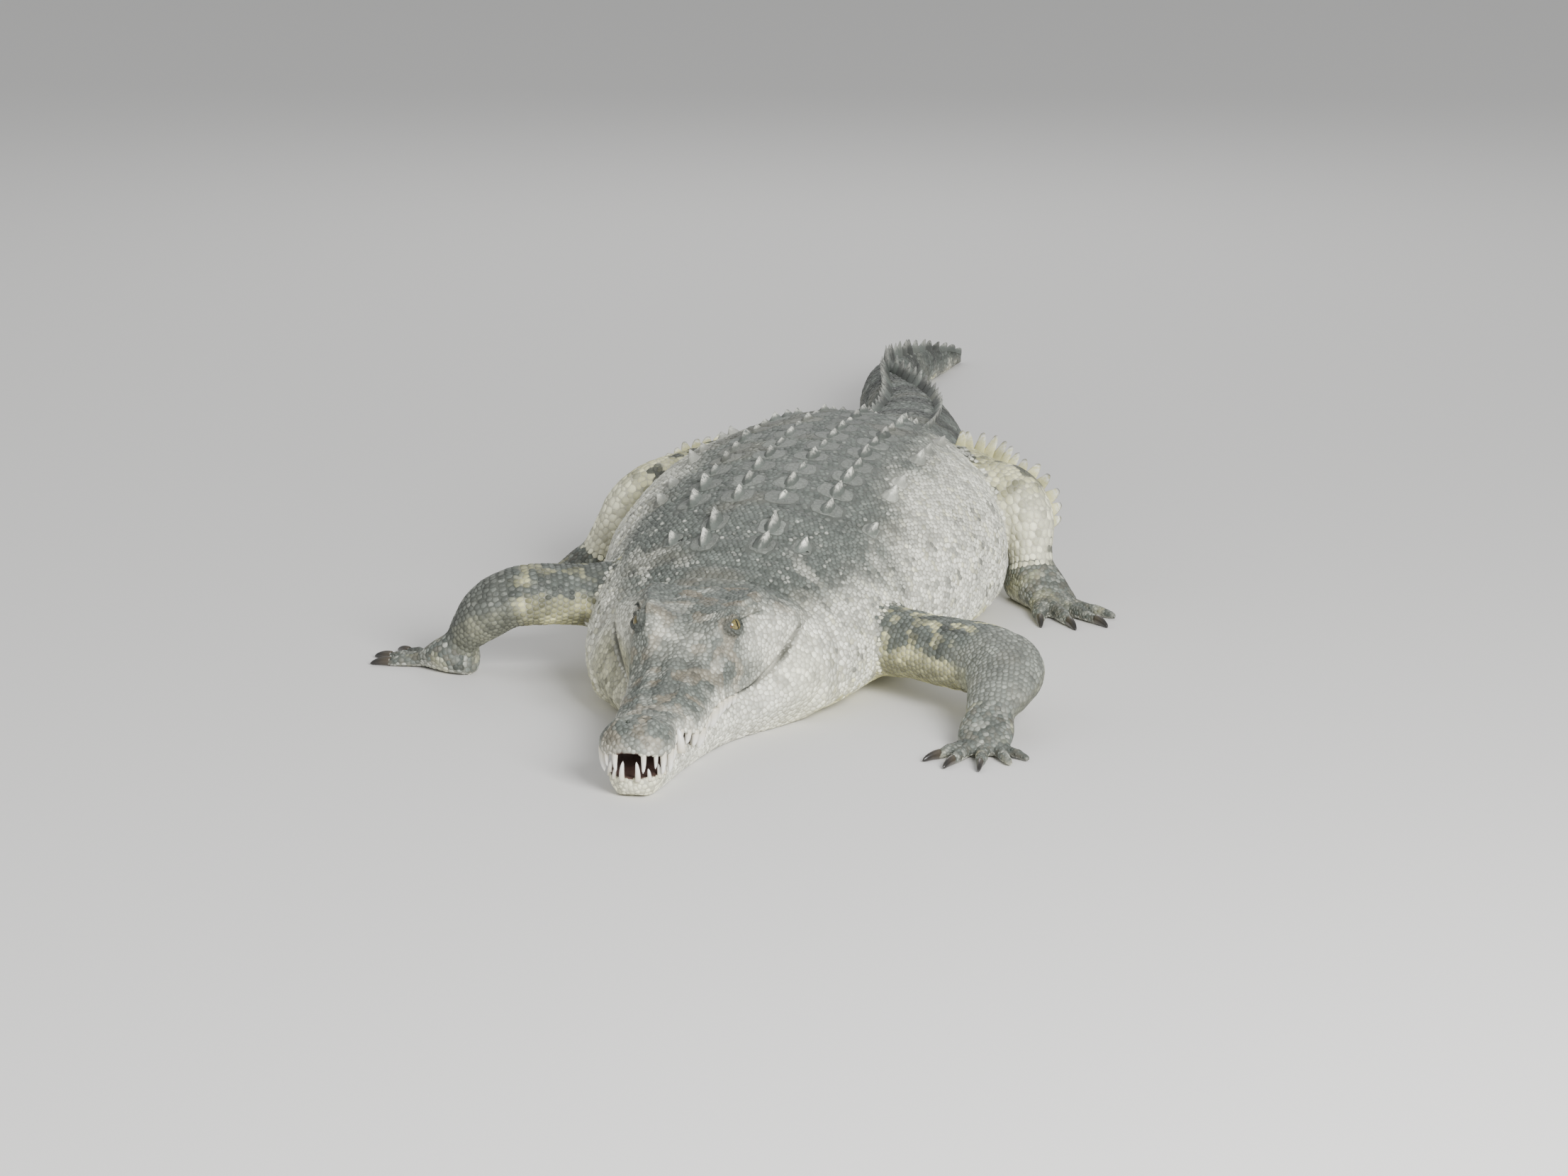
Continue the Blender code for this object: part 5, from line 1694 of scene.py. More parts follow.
CANDIDATES = 34000  # on each square metre, of which about one in ten stays
spots, spot_part = strew(CANDIDATES / DENSITY**2)
lie = spine_direction(spots)
for name in LIMBS:
    lie[spot_part == NUMBER_OF[name + " foot"]] = foot_frame(name)[0]
    mine = spot_part == NUMBER_OF[name]
    if mine.any():
        lie[mine] = limb_line(LIMBS[name], limb_numbers(spots[mine], name)[0])[1]
halves = local_half(spots, spot_part)
strewn = roots(spots, lie, halves, 1.0, 0.16 * halves, spot_part, piece_at(spots, spot_part))
seen = visible_skin(strewn["point"], strewn["normal"], strewn["part"])
strewn = chosen(strewn, seen & ~inside_shields(strewn["point"], 0.0015))
coat = chosen(coat, visible_skin(coat["point"], coat["normal"], coat["part"]))
strewn = thin_out(strewn, coat, STREWN_SPACING)
timed("strewn:", len(strewn["half"]), "of", len(spots))

# %% [markdown]
# A scale's border with a neighbour lies between the two roots, nearer to the smaller one. Along each
# ray the first border that it meets is the scale's edge. Strewn scales are then moved to the middle of
# their own outline and grown again, twice, which evens them out.

# %% Growing scales to their borders
RAYS = 8
NEIGHBOURS = 14
GROOVE = 0.0003
LEAST_REACH, MOST_REACH = 0.30, 1.45  # of a scale along any ray, by its half width
MARKER_HALF = 0.0012
ray_turns = (np.arange(RAYS) + 0.5) * 2 * math.pi / RAYS
RAY = np.stack([np.cos(ray_turns), np.sin(ray_turns)], axis=1)


def shield_markers():
    """Points round the edge of every shield, which hold the other scales off."""
    turns = full_turn(28)
    reach = (np.abs(np.cos(turns)) ** 4 + np.abs(np.sin(turns)) ** 4) ** -0.25
    spots = []
    for middle, length, width, ahead, beside, _ in each_shield():
        along, across = reach * np.cos(turns) * length, reach * np.sin(turns) * width
        spots.append(middle + along[:, None] * ahead + across[:, None] * beside)
    return np.concatenate(spots)


MARKERS = shield_markers()


def grow(table):
    """For each scale, its reach along every ray, in metres along and across its lie."""
    points = np.concatenate([table["point"], MARKERS])
    halves = np.concatenate([table["half"], np.full(len(MARKERS), MARKER_HALF)])
    tree = tree_of(points)
    found = [[hit[1] for hit in tree.find_n(p, NEIGHBOURS + 1)[1:]] for p in table["point"].tolist()]
    found = np.array(found)
    offset = points[found] - table["point"][:, None]
    beside = np.cross(table["normal"], table["lie"])
    longer = table["longer"][:, None]
    x = (offset * table["lie"][:, None]).sum(2) / longer
    y = (offset * beside[:, None]).sum(2)
    distance = np.maximum(1e-6, np.hypot(x, y))
    share = table["half"][:, None] / (table["half"][:, None] + halves[found])
    facing = (x[..., None] * RAY[:, 0] + y[..., None] * RAY[:, 1]) / distance[..., None]
    border = (distance * share)[..., None] / np.maximum(facing, 0.02)
    border = np.where(facing > 0.02, border, 9.0).min(axis=1)
    reach = np.clip(border, LEAST_REACH * table["half"][:, None], MOST_REACH * table["half"][:, None])
    return reach * RAY[:, 0] * longer, reach * RAY[:, 1]


def even_out(table, movable, rounds=2):
    """Moves the movable scales to the middle of their outlines."""
    for _ in range(rounds):
        along, across = grow(table)
        shift = along.mean(1)[:, None] * table["lie"]
        shift += across.mean(1)[:, None] * np.cross(table["normal"], table["lie"])
        moved = table["point"] + np.where(movable[:, None], 0.8 * shift, 0.0)
        place, normals, _ = drop_to_skin(moved[movable])
        table["point"][movable], table["normal"][movable] = place, normals
        table["lie"] = flatten_to(table["normal"], table["lie"])
    return table


movable = np.concatenate([np.zeros(len(coat["half"]), bool), np.ones(len(strewn["half"]), bool)])
coat = even_out(gather([coat, strewn]), movable)
timed("scales:", len(coat["half"]))

# %% [markdown]
# Each scale is one small closed dome: an outer ring sunk a hair into the skin, an inner ring near the
# full height, and a top point a little behind the middle, so that the scale leans back the way the
# coat lies. The rings are dropped onto the skin, which keeps even the long tiles of the tail on it.
# All the scales of a piece are written into one mesh in one go.

# %% Scale meshes
SINK = 0.0005
LEAN = 0.30
PATCH = 0.003  # size of one scale's patch on the unwrap


def unwrap(points, part):
    """A place between 0 and 1 on an unwrap of each part: along it, and round it."""
    u, v = np.zeros(len(points)), np.zeros(len(points))
    along, out, height = body_numbers(points)
    turn = np.arctan2(height - body_column(3, along), out) / (2 * math.pi) % 1.0
    u, v = np.where(part == body, along / TOTAL_LENGTH, u), np.where(part == body, turn, v)
    on_head = in_head(part)
    turn = np.arctan2(points[:, 2] - 0.09, points[:, 0]) / (2 * math.pi) % 1.0
    u, v = np.where(on_head, points[:, 1] / HEAD_LENGTH, u), np.where(on_head, turn, v)
    for name in LIMBS:
        mine = part == NUMBER_OF[name]
        if mine.any():
            share, turn = limb_numbers(points[mine], name)
            u[mine], v[mine] = share, turn / (2 * math.pi) % 1.0
        mine = part == NUMBER_OF[name + " foot"]
        if mine.any():
            ahead, inner = foot_frame(name)
            offset = points[mine] - np.array(LIMBS[name]["end"])
            under = offset[:, 2] + LIMBS[name]["end"][2] < 0.004
            u[mine] = (offset @ ahead + 0.07) / 0.30
            v[mine] = 0.25 + (offset @ inner) / 0.45 + 0.5 * under
    return np.stack([np.clip(u, 0, 1), np.clip(v, 0, 1)], axis=1)


def piece_unwrap(points, part):
    """The unwrap of one coat piece: each part in it has its own column, spread over the column's size."""
    places = unwrap(points, part)
    here = np.unique(part)
    columns = math.ceil(math.sqrt(len(here)))
    cell = 1.0 / columns
    for k, number in enumerate(here):
        mine = part == number
        low, high = places[mine].min(0), places[mine].max(0)
        spread = (places[mine] - low) / np.maximum(1e-4, high - low)
        corner = np.array((k % columns, k // columns)) * cell
        places[mine] = corner + (0.02 + 0.96 * spread) * cell
    return places * (1 - 2 * PATCH) + PATCH


def store_unwrap(mesh, places):
    """Stores the unwrap, given for each vertex, on the mesh's corners."""
    corners = read_rows(mesh.loops, "vertex_index", 1, np.int32)[:, 0]
    layer = mesh.uv_layers.get("OFBake") or mesh.uv_layers.new(name="OFBake")
    layer.data.foreach_set("uv", places.reshape(-1, 2)[corners].astype(np.float32).ravel())


def scale_faces(rays, levels):
    """Corners and sizes of one scale's faces: a fan at the top, walls from ring to ring, and a base."""
    k = np.arange(rays)
    follow = (k + 1) % rays
    fans = np.stack([np.zeros(rays, int), 1 + k, 1 + follow], axis=1)
    wall = np.stack([k, rays + k, rays + follow, follow], axis=1)
    walls = np.concatenate([1 + level * rays + wall for level in range(levels)])
    base = (1 + levels * rays + k)[::-1]
    sizes = np.concatenate([np.full(rays, 3), np.full(levels * rays, 4), [rays]])
    return np.concatenate([fans.ravel(), walls.ravel(), base]), sizes


def repeated_mesh(name, verts, corners, sizes):
    """One mesh of many closed shapes with the same faces, from a row of vertices for each shape."""
    count, per = verts.shape[:2]
    mesh = bpy.data.meshes.new(name)
    mesh.vertices.add(count * per)
    mesh.vertices.foreach_set("co", verts.ravel())
    loops = (np.arange(count)[:, None] * per + corners).ravel()
    mesh.loops.add(len(loops))
    mesh.loops.foreach_set("vertex_index", loops.astype(np.int32))
    starts = running(np.tile(sizes, count))[:-1]
    mesh.polygons.add(len(starts))
    mesh.polygons.foreach_set("loop_start", starts.astype(np.int32))
    mesh.update(calc_edges=True)
    mesh.validate()
    return mesh


def scale_mesh(name, table, along, across, tone, rings=(1.0,), rough=0.0):
    """One mesh of closed scales, with the marks, tone, rim and unwrap of every scale.

    The rings lie inside the edge, as shares of the shelf's size; lumps of the rough height go on them.
    """
    point, normal, lie, part = (table[key] for key in ("point", "normal", "lie", "part"))
    tall = table["height"][:, None]
    count, rays = along.shape
    reach = np.hypot(along, across)
    shrink = 1.03 * np.maximum(0.7, 1.0 - GROOVE / reach)
    flat = along[..., None] * lie[:, None] + across[..., None] * np.cross(normal, lie)[:, None]
    slope = np.clip(1.0 - 1.1 * tall / reach, 0.70, 0.93)
    spread = [shrink, *(shrink * slope * share for share in rings)]
    wanted = np.stack([point[:, None] + flat * size[..., None] for size in spread])
    place, outward, _ = drop_to_skin(wanted.reshape(-1, 3))
    place, outward = place.reshape(wanted.shape), outward.reshape(wanted.shape)
    rearward = along / np.maximum(1e-6, np.abs(along).max(1, keepdims=True))
    top = point + normal * tall
    layers = [(top + lie * (0.12 * table["half"] * table["longer"])[:, None])[:, None]]
    for level, share in enumerate(rings, 1):
        lift = tall * (0.78 + LEAN * 0.5 * rearward * share + 0.22 * (1 - share * share))
        lift = lift + rough * ripple(place[level].reshape(-1, 3), 0.009, 85.0).reshape(count, rays)
        layers.append(place[level] + outward[level] * lift[..., None])
    verts = np.concatenate([*layers, place[0] - outward[0] * SINK], axis=1)
    mesh = repeated_mesh(name, verts, *scale_faces(rays, len(rings)))
    per = verts.shape[1]
    store_marks(mesh, blend_marks(point, normal, part), per)
    store(mesh, "tone", np.repeat(tone, per))

    def by_layer(at_rings):
        """1 at the top, this much at the rings and 0 at the edge."""
        return np.concatenate([[1.0], np.full(len(rings) * rays, at_rings), np.zeros(rays)])

    bare = np.maximum(0.0, table["smooth"])[:, None] if "smooth" in table else np.zeros((count, 1))
    # rim is 0 at a scale's edge and 1 at its top; the marking group paints shade in the groove by it
    store(mesh, "rim", np.maximum(by_layer(0.85), bare).ravel())
    store(mesh, "worn_and_sheen", (0.35 * table["worn_and_sheen"][:, None] * by_layer(0.4)).ravel())
    ring = 0.5 * np.stack([along, across], axis=2) / reach.max(1)[:, None, None]
    local = np.concatenate([np.zeros((count, 1, 2)), *(0.7 * share * ring for share in rings), ring], axis=1)
    store_unwrap(mesh, piece_unwrap(point, part)[:, None] + PATCH * local)
    return new_object(name, mesh)


# %% [markdown]
# A few scales are set apart before the meshes are made: pale knobs on the flanks and the neck, and the
# flat scales over the jaw muscle. The plates on the back are made by the same function, from squarish
# outlines with uneven edges, and with more rings, so that they can be lumpy.

# %% The coat's pieces
along_reach, across_reach = grow(coat)
chance = rng.random(len(coat["half"]))
tone = np.clip(0.5 + 0.22 * rng.standard_normal(len(coat["half"])), 0.0, 1.0)
coat["worn_and_sheen"] = 0.5 * ease(0.55, 0.95, chance) * (coat["normal"][:, 2] > 0.3)
# here and there a scale of the flank or neck is a pale knob that stands above its neighbours
flanks = np.isin(coat["piece"], [PIECE_NUMBER[name] for name in PIECES[2:5]]) & (chance > 0.93)
coat["height"] = np.where(flanks, 2.3 * coat["height"], coat["height"])
coat["worn_and_sheen"] = np.where(flanks, 2.0, coat["worn_and_sheen"])
# over the jaw muscle the scales are so flat that the skin looks bare
mirrored = to_left(coat["point"])
from_muscle = np.hypot((mirrored[:, 1] - 0.500) / 0.075, (mirrored[:, 2] - 0.085) / 0.060)
coat["smooth"] = bump(from_muscle, 0.0, 1.0)
coat["smooth"] *= (mirrored[:, 0] > 0.08) & (coat["normal"][:, 2] < 0.8)
coat["height"] = coat["height"] * (1 - 0.6 * coat["smooth"])
SCALE_FINISH = hide_material("scales", 0.0005)
PLATE_FINISH = hide_material("shields", 0.0012, hide=(0.165, 0.182, 0.162), groove_shade=0.30, crackle=0.40)
for number, name in enumerate(PIECES):
    mine = coat["piece"] == number
    if mine.any():
        piece = scale_mesh(name, chosen(coat, mine), along_reach[mine], across_reach[mine], tone[mine])
        piece.data.materials.append(SCALE_FINISH)
        settle(piece, "hide")
        print(name, int(mine.sum()), "scales,", int(mine.sum()) * (4 * RAYS - 2), "triangles")
timed("coat:", len(coat["half"]) * (4 * RAYS - 2), "triangles")

# %% The shields' plates
SHIELD_RAYS = 20
turns = full_turn(SHIELD_RAYS)
square = (np.abs(np.cos(turns)) ** 3.2 + np.abs(np.sin(turns)) ** 3.2) ** (-1 / 3.2)
shields["worn_and_sheen"] = np.full(len(shields["half"]), 0.6)
uneven = rng.uniform(-0.16, 0.12, (len(shields["half"]), SHIELD_RAYS))
uneven = (uneven + np.roll(uneven, 1, axis=1) + np.roll(uneven, -1, axis=1)) / 2.2
plate_half = shields["half"][:, None] * (1 + uneven)
plates = scale_mesh(
    "shields", shields, square * np.cos(turns) * plate_half * shields["longer"][:, None],
    square * np.sin(turns) * plate_half, np.clip(0.5 + 0.12 * rng.standard_normal(len(plate_half)), 0, 1),
    rings=(0.2, 0.4, 0.6, 0.8, 0.94, 1.0), rough=0.0011,
)
plates.data.materials.append(PLATE_FINISH)
settle(plates, "hide")
print("plates:", len(plate_half))

# %% [markdown]
# Keels, the upright scales of the tail, teeth and claws are each one shape that is set many times, at
# a place, turned and sized. That is a task for Geometry Nodes: points carry the turn and the size as
# attributes, the shape is put on each point, and the copies are made real. One small tree serves all.

# %% The setting tree
SETTING_INPUTS = (
    ("Geometry", "Geometry", None), ("Shape", "Object", None), ("Overall Size", "Float", 1.0),
    ("Uneven Size", "Float", 0.08), ("Seed", "Int", 3), ("Finish", "Material", None),
)


def make_setting_tree():
    tree = bpy.data.node_groups.new("set shapes on points", "GeometryNodeTree")
    tree.is_modifier = True
    for name, kind, value in SETTING_INPUTS:
        new_socket(tree, name, kind, value)
    new_socket(tree, "Geometry", "Geometry", direction="OUTPUT")
    given = add_node(tree, "NodeGroupInput").outputs
    shape = add_node(tree, "GeometryNodeObjectInfo", {"Object": given["Shape"]})

    def vector_field(name):
        field = add_node(tree, "GeometryNodeInputNamedAttribute", {"Name": name}, data_type="FLOAT_VECTOR")
        return field.outputs["Attribute"]

    turn = add_node(tree, "FunctionNodeEulerToRotation", {"Euler": vector_field("turn")})
    uneven = add_node(tree, "FunctionNodeRandomValue", {"Seed": given["Seed"]}, data_type="FLOAT")
    least, most = (socket for socket in uneven.inputs if socket.type == "VALUE" and socket.enabled)
    drawn = next(socket for socket in uneven.outputs if socket.type == "VALUE" and socket.enabled)
    fill(tree, least, math_node(tree, "SUBTRACT", 1.0, given["Uneven Size"]))
    fill(tree, most, 1.0)
    overall = math_node(tree, "MULTIPLY", given["Overall Size"], drawn)
    scale = vector_node(tree, "SCALE", {0: vector_field("size"), "Scale": overall})
    copies = add_node(tree, "GeometryNodeInstanceOnPoints", {
        "Points": given["Geometry"], "Instance": shape.outputs["Geometry"],
        "Rotation": turn.outputs["Rotation"], "Scale": scale,
    })
    real = add_node(tree, "GeometryNodeRealizeInstances", {"Geometry": copies.outputs["Instances"]})
    finish = {"Geometry": real.outputs["Geometry"], "Material": given["Finish"]}
    finished = add_node(tree, "GeometryNodeSetMaterial", finish).outputs["Geometry"]
    add_node(tree, "NodeGroupOutput", {"Geometry": finished})
    return tree


SETTING = make_setting_tree()


def set_shape(name, shape_rings, places, finish, uneven=0.0, seed=3):
    """The shape, a closed loft, set at every place: (point, across, along, up, size)."""
    pattern = mesh_object(name + " shape", *closed_loft(shape_rings))
    points = bpy.data.meshes.new(name + " places")
    points.from_pydata([tuple(place[0]) for place in places], [], [])
    turns = [Matrix(np.stack(place[1:4], axis=1).tolist()).to_euler() for place in places]
    for key, values in (("turn", turns), ("size", [place[4] for place in places])):
        attribute = points.attributes.new(key, "FLOAT_VECTOR", "POINT")
        attribute.data.foreach_set("vector", np.array(values, dtype=np.float32).ravel())
    carrier = new_object(name, points)
    modifier = carrier.modifiers.new("Set", "NODES")
    modifier.node_group = SETTING
    values = {"Shape": pattern, "Uneven Size": uneven, "Seed": seed, "Finish": finish}
    for item in SETTING.interface.items_tree:
        if item.item_type == "SOCKET" and item.in_out == "INPUT" and item.name in values:
            modifier[item.identifier] = values[item.name]
    mesh = evaluated_mesh(carrier)
    carrier.modifiers.clear()
    carrier.data = mesh
    per = len(pattern.data.vertices)
    bpy.data.objects.remove(pattern)
    print(name + ":", len(places), "set,", len(mesh.polygons), "faces")
    return carrier, per


print("setting tree:", len(SETTING.nodes), "nodes")

# %% [markdown]
# A keel climbs towards the tail and drops at its rear edge, and its flanks are hollow, so that it is
# wide and flat at the foot and thin at the ridge. The upright scales of the tail are the same form
# squeezed into a blade that leans back. Their marks grow whiter towards the ridge: partly horn rubbed
# pale, partly a painted highlight where the ridge catches the light.

# %% Keels, the tail's crest and the leg's fringe


def ridge_rings(stations=11, sides=9, peak=0.68, lean=0.0, hollow=1.35, full=0.66):
    """A ridge one unit long, wide and high; a ring is one cross section, closed under the skin."""
    t = np.linspace(0.0, 1.0, stations)
    high = smooth_through(((0.0, 0.02), (0.30, full), (peak, 1.0), (0.93, 0.2 + full), (1.0, 0.05)), t)
    wide = smooth_through(((0.0, 0.25), (0.20, 0.85), (0.55, 1.0), (0.9, 0.80), (1.0, 0.35)), t)
    s = np.linspace(-1.0, 1.0, sides)
    profile = (1 - np.abs(s)) ** hollow
    profile[sides // 2] = 1.0
    rings = []
    for at, h, w in zip(t, high, wide):
        top = np.stack([0.5 * w * s, at - 0.5 + lean * h * profile, h * profile], axis=1)
        foot = np.array([(0.5 * w, at - 0.5, -0.30), (-0.5 * w, at - 0.5, -0.30)])
        rings.append(np.concatenate([top, foot]))
    return np.array(rings)


def frame_on_skin(point, normal, lie, length, width, height, sink):
    """A place for a ridge: across, along the lie and up."""
    return (point - normal * sink, np.cross(lie, normal), lie, normal, (width, length, height))


def mark_ridges(obj, per, tops, normals, whitest):
    """Gives a set piece the marks of its roots, and a pale ridge that grows with the height: partly rubbed
    horn, partly painted highlight.
    """
    mesh = obj.data
    count = len(tops)
    points = read_vertices(mesh).reshape(count, per, 3)
    rise = ((points - tops[:, None]) * normals[:, None]).sum(2)
    share = np.clip(rise / np.maximum(1e-6, rise.max(1, keepdims=True)), 0, 1)
    part = np.full(count, body)
    store_marks(mesh, blend_marks(points.mean(1), normals, part), per)
    store(mesh, "tone", np.repeat(np.clip(0.5 + 0.16 * rng.standard_normal(count), 0, 1), per))
    # the foot of a ridge takes part of the painted shade of the grooves
    store(mesh, "rim", np.clip(0.35 + share, 0, 1).ravel())
    store(mesh, "worn_and_sheen", (whitest * ease(0.30, 0.85, share)).ravel())
    local = np.stack([share - 0.5, np.tile(np.linspace(-1, 1, per), (count, 1))], axis=2)
    store_unwrap(mesh, piece_unwrap(tops, part)[:, None] + PATCH * 0.5 * local)


def roughen(obj, amount, size):
    """Small lumps over a set piece, so that no two copies are alike."""
    points, normals = read_vertices(obj.data), read_vertices(obj.data, "normal")
    lumps = ripple(points, size, 81.0) + 0.5 * ripple(points, size * 0.45, 83.0)
    obj.data.vertices.foreach_set("co", (points + normals * (amount * lumps)[:, None]).ravel())
    obj.data.update()


HORN_FINISH = hide_material("keels", 0.0008, groove_shade=0.25)


def set_ridges(name, rings, ridges, uneven, seed, lumps=None, whitest=1.2):
    """Sets ridges from a list of what frame_on_skin takes, roughens them and gives them their marks."""
    obj, per = set_shape(name, rings, [frame_on_skin(*ridge) for ridge in ridges], HORN_FINISH, uneven, seed)
    if lumps is not None:
        roughen(obj, *lumps)
    tops, normals = (np.array([ridge[k] for ridge in ridges]) for k in (0, 1))
    mark_ridges(obj, per, tops, normals, whitest)
    return obj


ridges = [(p, n, a, 1.12 * length, 0.024 + 0.32 * tall, 0.85 * tall + 0.0015, 0.001)
          for p, n, a, length, tall in shield_keels]
settle(set_ridges("keels", ridge_rings(), ridges, 0.20, 5, (0.0014, 0.010)), "hide")


def crest_height(whorl):
    """The tail's upright scales are tallest about where the two rows become one."""
    return float(smooth_through(((0, 0.016), (8, 0.028), (17, 0.040), (24, 0.036), (35, 0.013)), whorl))


DOUBLE_WHORLS = 18  # behind these the two rows are one
ridges = []
for whorl in range(TAIL_WHORLS):
    along = TRUNK_END + (whorl + 0.5) * WHORL_PITCH
    spread = float(smooth_through(((0, 0.074), (9, 0.046), (17, 0.011)), whorl))
    for out in (-spread, spread) if whorl < DOUBLE_WHORLS else (0.0,):
        spot = body_skin(np.array([along]), np.array([angle_beside(along, out)]))
        place, normal, _ = drop_to_skin(spot)
        lie = flatten_to(normal, spine_direction(place))[0]
        tall = crest_height(whorl)
        ridges.append((place[0], normal[0], lie, 0.056, 0.014 + 0.14 * tall, tall, 0.002))
blade = ridge_rings(peak=0.66, lean=0.28, hollow=0.85, full=0.70)
settle(set_ridges("tail_crest", blade, ridges, 0.10, 9, (0.0008, 0.013), 0.5), "hide")

FRINGE_SHARES = (0.34, 0.38, 0.42, 0.46, 0.50, 0.54, 0.58, 0.62, 0.66, 0.70, 0.745, 0.79, 0.835)
FRINGE_LENGTH = 0.057
ridges = []
for name in ("hind_left", "hind_right"):
    shares = np.array(FRINGE_SHARES)
    points, ahead, _ = limb_line(LIMBS[name], shares)
    side = LIMBS[name]["side"]
    for k, share in enumerate(shares):
        done = (share - shares[0]) / (shares[-1] - shares[0])
        turn_out = np.array((side * (0.25 + 0.65 * done), 0.55 + 0.30 * done, 0.95 - 0.75 * done))
        rear = unit(turn_out - ahead[k] * (turn_out @ ahead[k]))
        spot, normal, _ = drop_to_skin((points[k] + rear * 0.07)[None])
        size = FRINGE_LENGTH * (1.0 - 0.5 * abs(done - 0.35)) * (1.0 if side > 0 else 0.6) - 0.008
        lie = flatten_to(normal, -ahead[k][None])[0]
        ridges.append((spot[0], normal[0], lie, 0.030, 0.011, size, 0.002))
fringe = set_ridges("leg_fringe", blade, ridges, 0.15, 11)
for mark, value in (("pale", 0.0), ("cream", 0.75), ("dark", 0.10)):
    fringe.data.attributes[mark].data.foreach_set("value", np.full(len(fringe.data.vertices), value))
settle(fringe, "hide")

# %% [markdown]
# The teeth are curved cones, ivory with a yellower root, and stand in the lips of both jaws. Claws are
# set the same way: deeper than wide, curved down to the floor, dark horn. There are three on each
# foot, as all crocodiles have them on the inner digits only.

# %% Teeth


def rings_round_z(flat, deep, sides, squash=1.0, shift=0.0):
    """Rings round the Z axis from their radii and heights, wider and shifted along Y if asked."""
    turns = full_turn(sides)
    y = flat[:, None] * squash * np.sin(turns) + np.reshape(shift, (-1, 1))
    return np.stack(np.broadcast_arrays(flat[:, None] * np.cos(turns), y, deep[:, None]), axis=-1)


def cone_rings(stations=9, sides=10, bend=0.10, blunt=0.10, deep=1.0):
    """A curved cone one unit long along +Z, of unit radius at its root."""
    t = np.linspace(0.0, 1.0, stations)
    radius = np.sqrt(np.maximum(0.0, 1 - t**1.5)) * (1 - blunt) + blunt * (1 - t**6) + 0.02
    return rings_round_z(radius, t, sides, deep, bend * t * t)


def horn_material(name, root, tip, roughness, streak_scale):
    """Ivory or claw: the colour runs from root to tip by an attribute, with fine lengthwise streaks."""
    material, tree, shader = new_material(name, roughness=roughness, coat_weight=0.25, coat_roughness=0.15)
    grain = texture(tree, streak_scale, 4.0).outputs["Fac"]
    uneven = math_node(tree, "MULTIPLY_ADD", grain, 0.5, -0.25)
    place = math_node(tree, "ADD", attribute(tree, "share"), uneven)
    ramp = add_node(tree, "ShaderNodeValToRGB", {"Fac": place})
    for element, colour, position in zip(ramp.color_ramp.elements, (root, tip), (0.05, 0.75)):
        element.color, element.position = (*colour, 1.0), position
    relief = bumped(tree, grain, 0.0003, 0.6)
    set_inputs(tree, shader, {"base_color": ramp.outputs["Color"], "normal": relief})
    return material


def set_cones(name, places, finish, stations=9, sides=10, **form):
    """Cones set at their places; each vertex knows its share of the way from root to tip."""
    obj, _ = set_shape(name, cone_rings(stations, sides, **form), places, finish)
    share = np.concatenate([np.repeat(np.linspace(0, 1, stations), sides), [0.0, 1.0]])
    store(obj.data, "share", np.tile(share, len(places)))
    return obj


SMALL_LOWER_TEETH = tuple((along, 0.010, 0.0036) for along in (0.022, 0.056, 0.092, 0.142, 0.160, 0.182))
ROOT_DEPTH = 0.008  # how far a tooth stands in the gum
tooth_places = []
for teeth, upper in ((UPPER_TEETH, True), (LOWER_TEETH, False), (SMALL_LOWER_TEETH, False)):
    for along, length, radius in teeth:
        out, height = line_at(LIP, along)
        if upper:
            outset = 0.15 if along > 0.24 else -0.30
        else:
            outset = 0.30 if radius > 0.006 else -0.40
            out = out * float(smooth_through(JAW_LIP_SHARE, along))
            height = height - float(smooth_through(GAPE, along))
        for side in (-1, 1):
            way = unit((side * (0.10 if upper else 0.06), -0.05, -1.0 if upper else 1.0))
            start = np.array((side * (out + outset * radius), along + (0.003 if upper else 0.0), height))
            inward = unit(np.cross(way, np.cross((-side, 0.35, 0.0), way)))
            size = (radius, radius, length + ROOT_DEPTH)
            tooth_places.append((start - way * ROOT_DEPTH, np.cross(inward, way), inward, way, size))
IVORY = horn_material("ivory", (0.72, 0.67, 0.52), (0.95, 0.94, 0.88), 0.28, 240.0)
settle(set_cones("teeth", tooth_places, IVORY, bend=0.9), "claw")

# %% Claws
CLAW_RISE = 0.62  # height of a claw's root, by the digit's radius
claw_places = []
for name in LIMBS:
    for digit in digits_of(name)[:CLAWED_DIGITS]:
        length, radius = digit[2:]
        start, ahead, _ = digit_line(name, digit)
        root = start + ahead * (length - 0.006) + (0, 0, CLAW_RISE * radius)
        way = unit(ahead * CLAW_LENGTH + (0.0, 0.0, 0.0045 - CLAW_RISE * radius + 0.006))
        up = unit(np.cross(way, np.cross((0, 0, 1.0), way)))
        size = (0.46 * radius, 0.52 * radius, CLAW_LENGTH + 0.004)
        claw_places.append((root, np.cross(-up, way), -up, way, size))
CLAW_HORN = horn_material("claw horn", (0.075, 0.062, 0.045), (0.022, 0.020, 0.018), 0.34, 160.0)
claws = set_cones("claws", claw_places, CLAW_HORN, 12, 14, bend=1.25, deep=1.2)
claw_nodes = [node for node in frame["nodes"] if node.startswith("claw_")]
settle(claws, "claw", *claw_nodes)
print("claw nodes replaced:", len(claw_nodes))

# %% [markdown]
# A crocodile's eye is a wet olive ball with a slit pupil. The ball is made in rings round its line of
# sight, with a clear bulge in front, and each vertex carries its angle from that line and its distance
# from the slit, which draw the iris. The front corner holds a fold of pink skin.

# %% Eyes


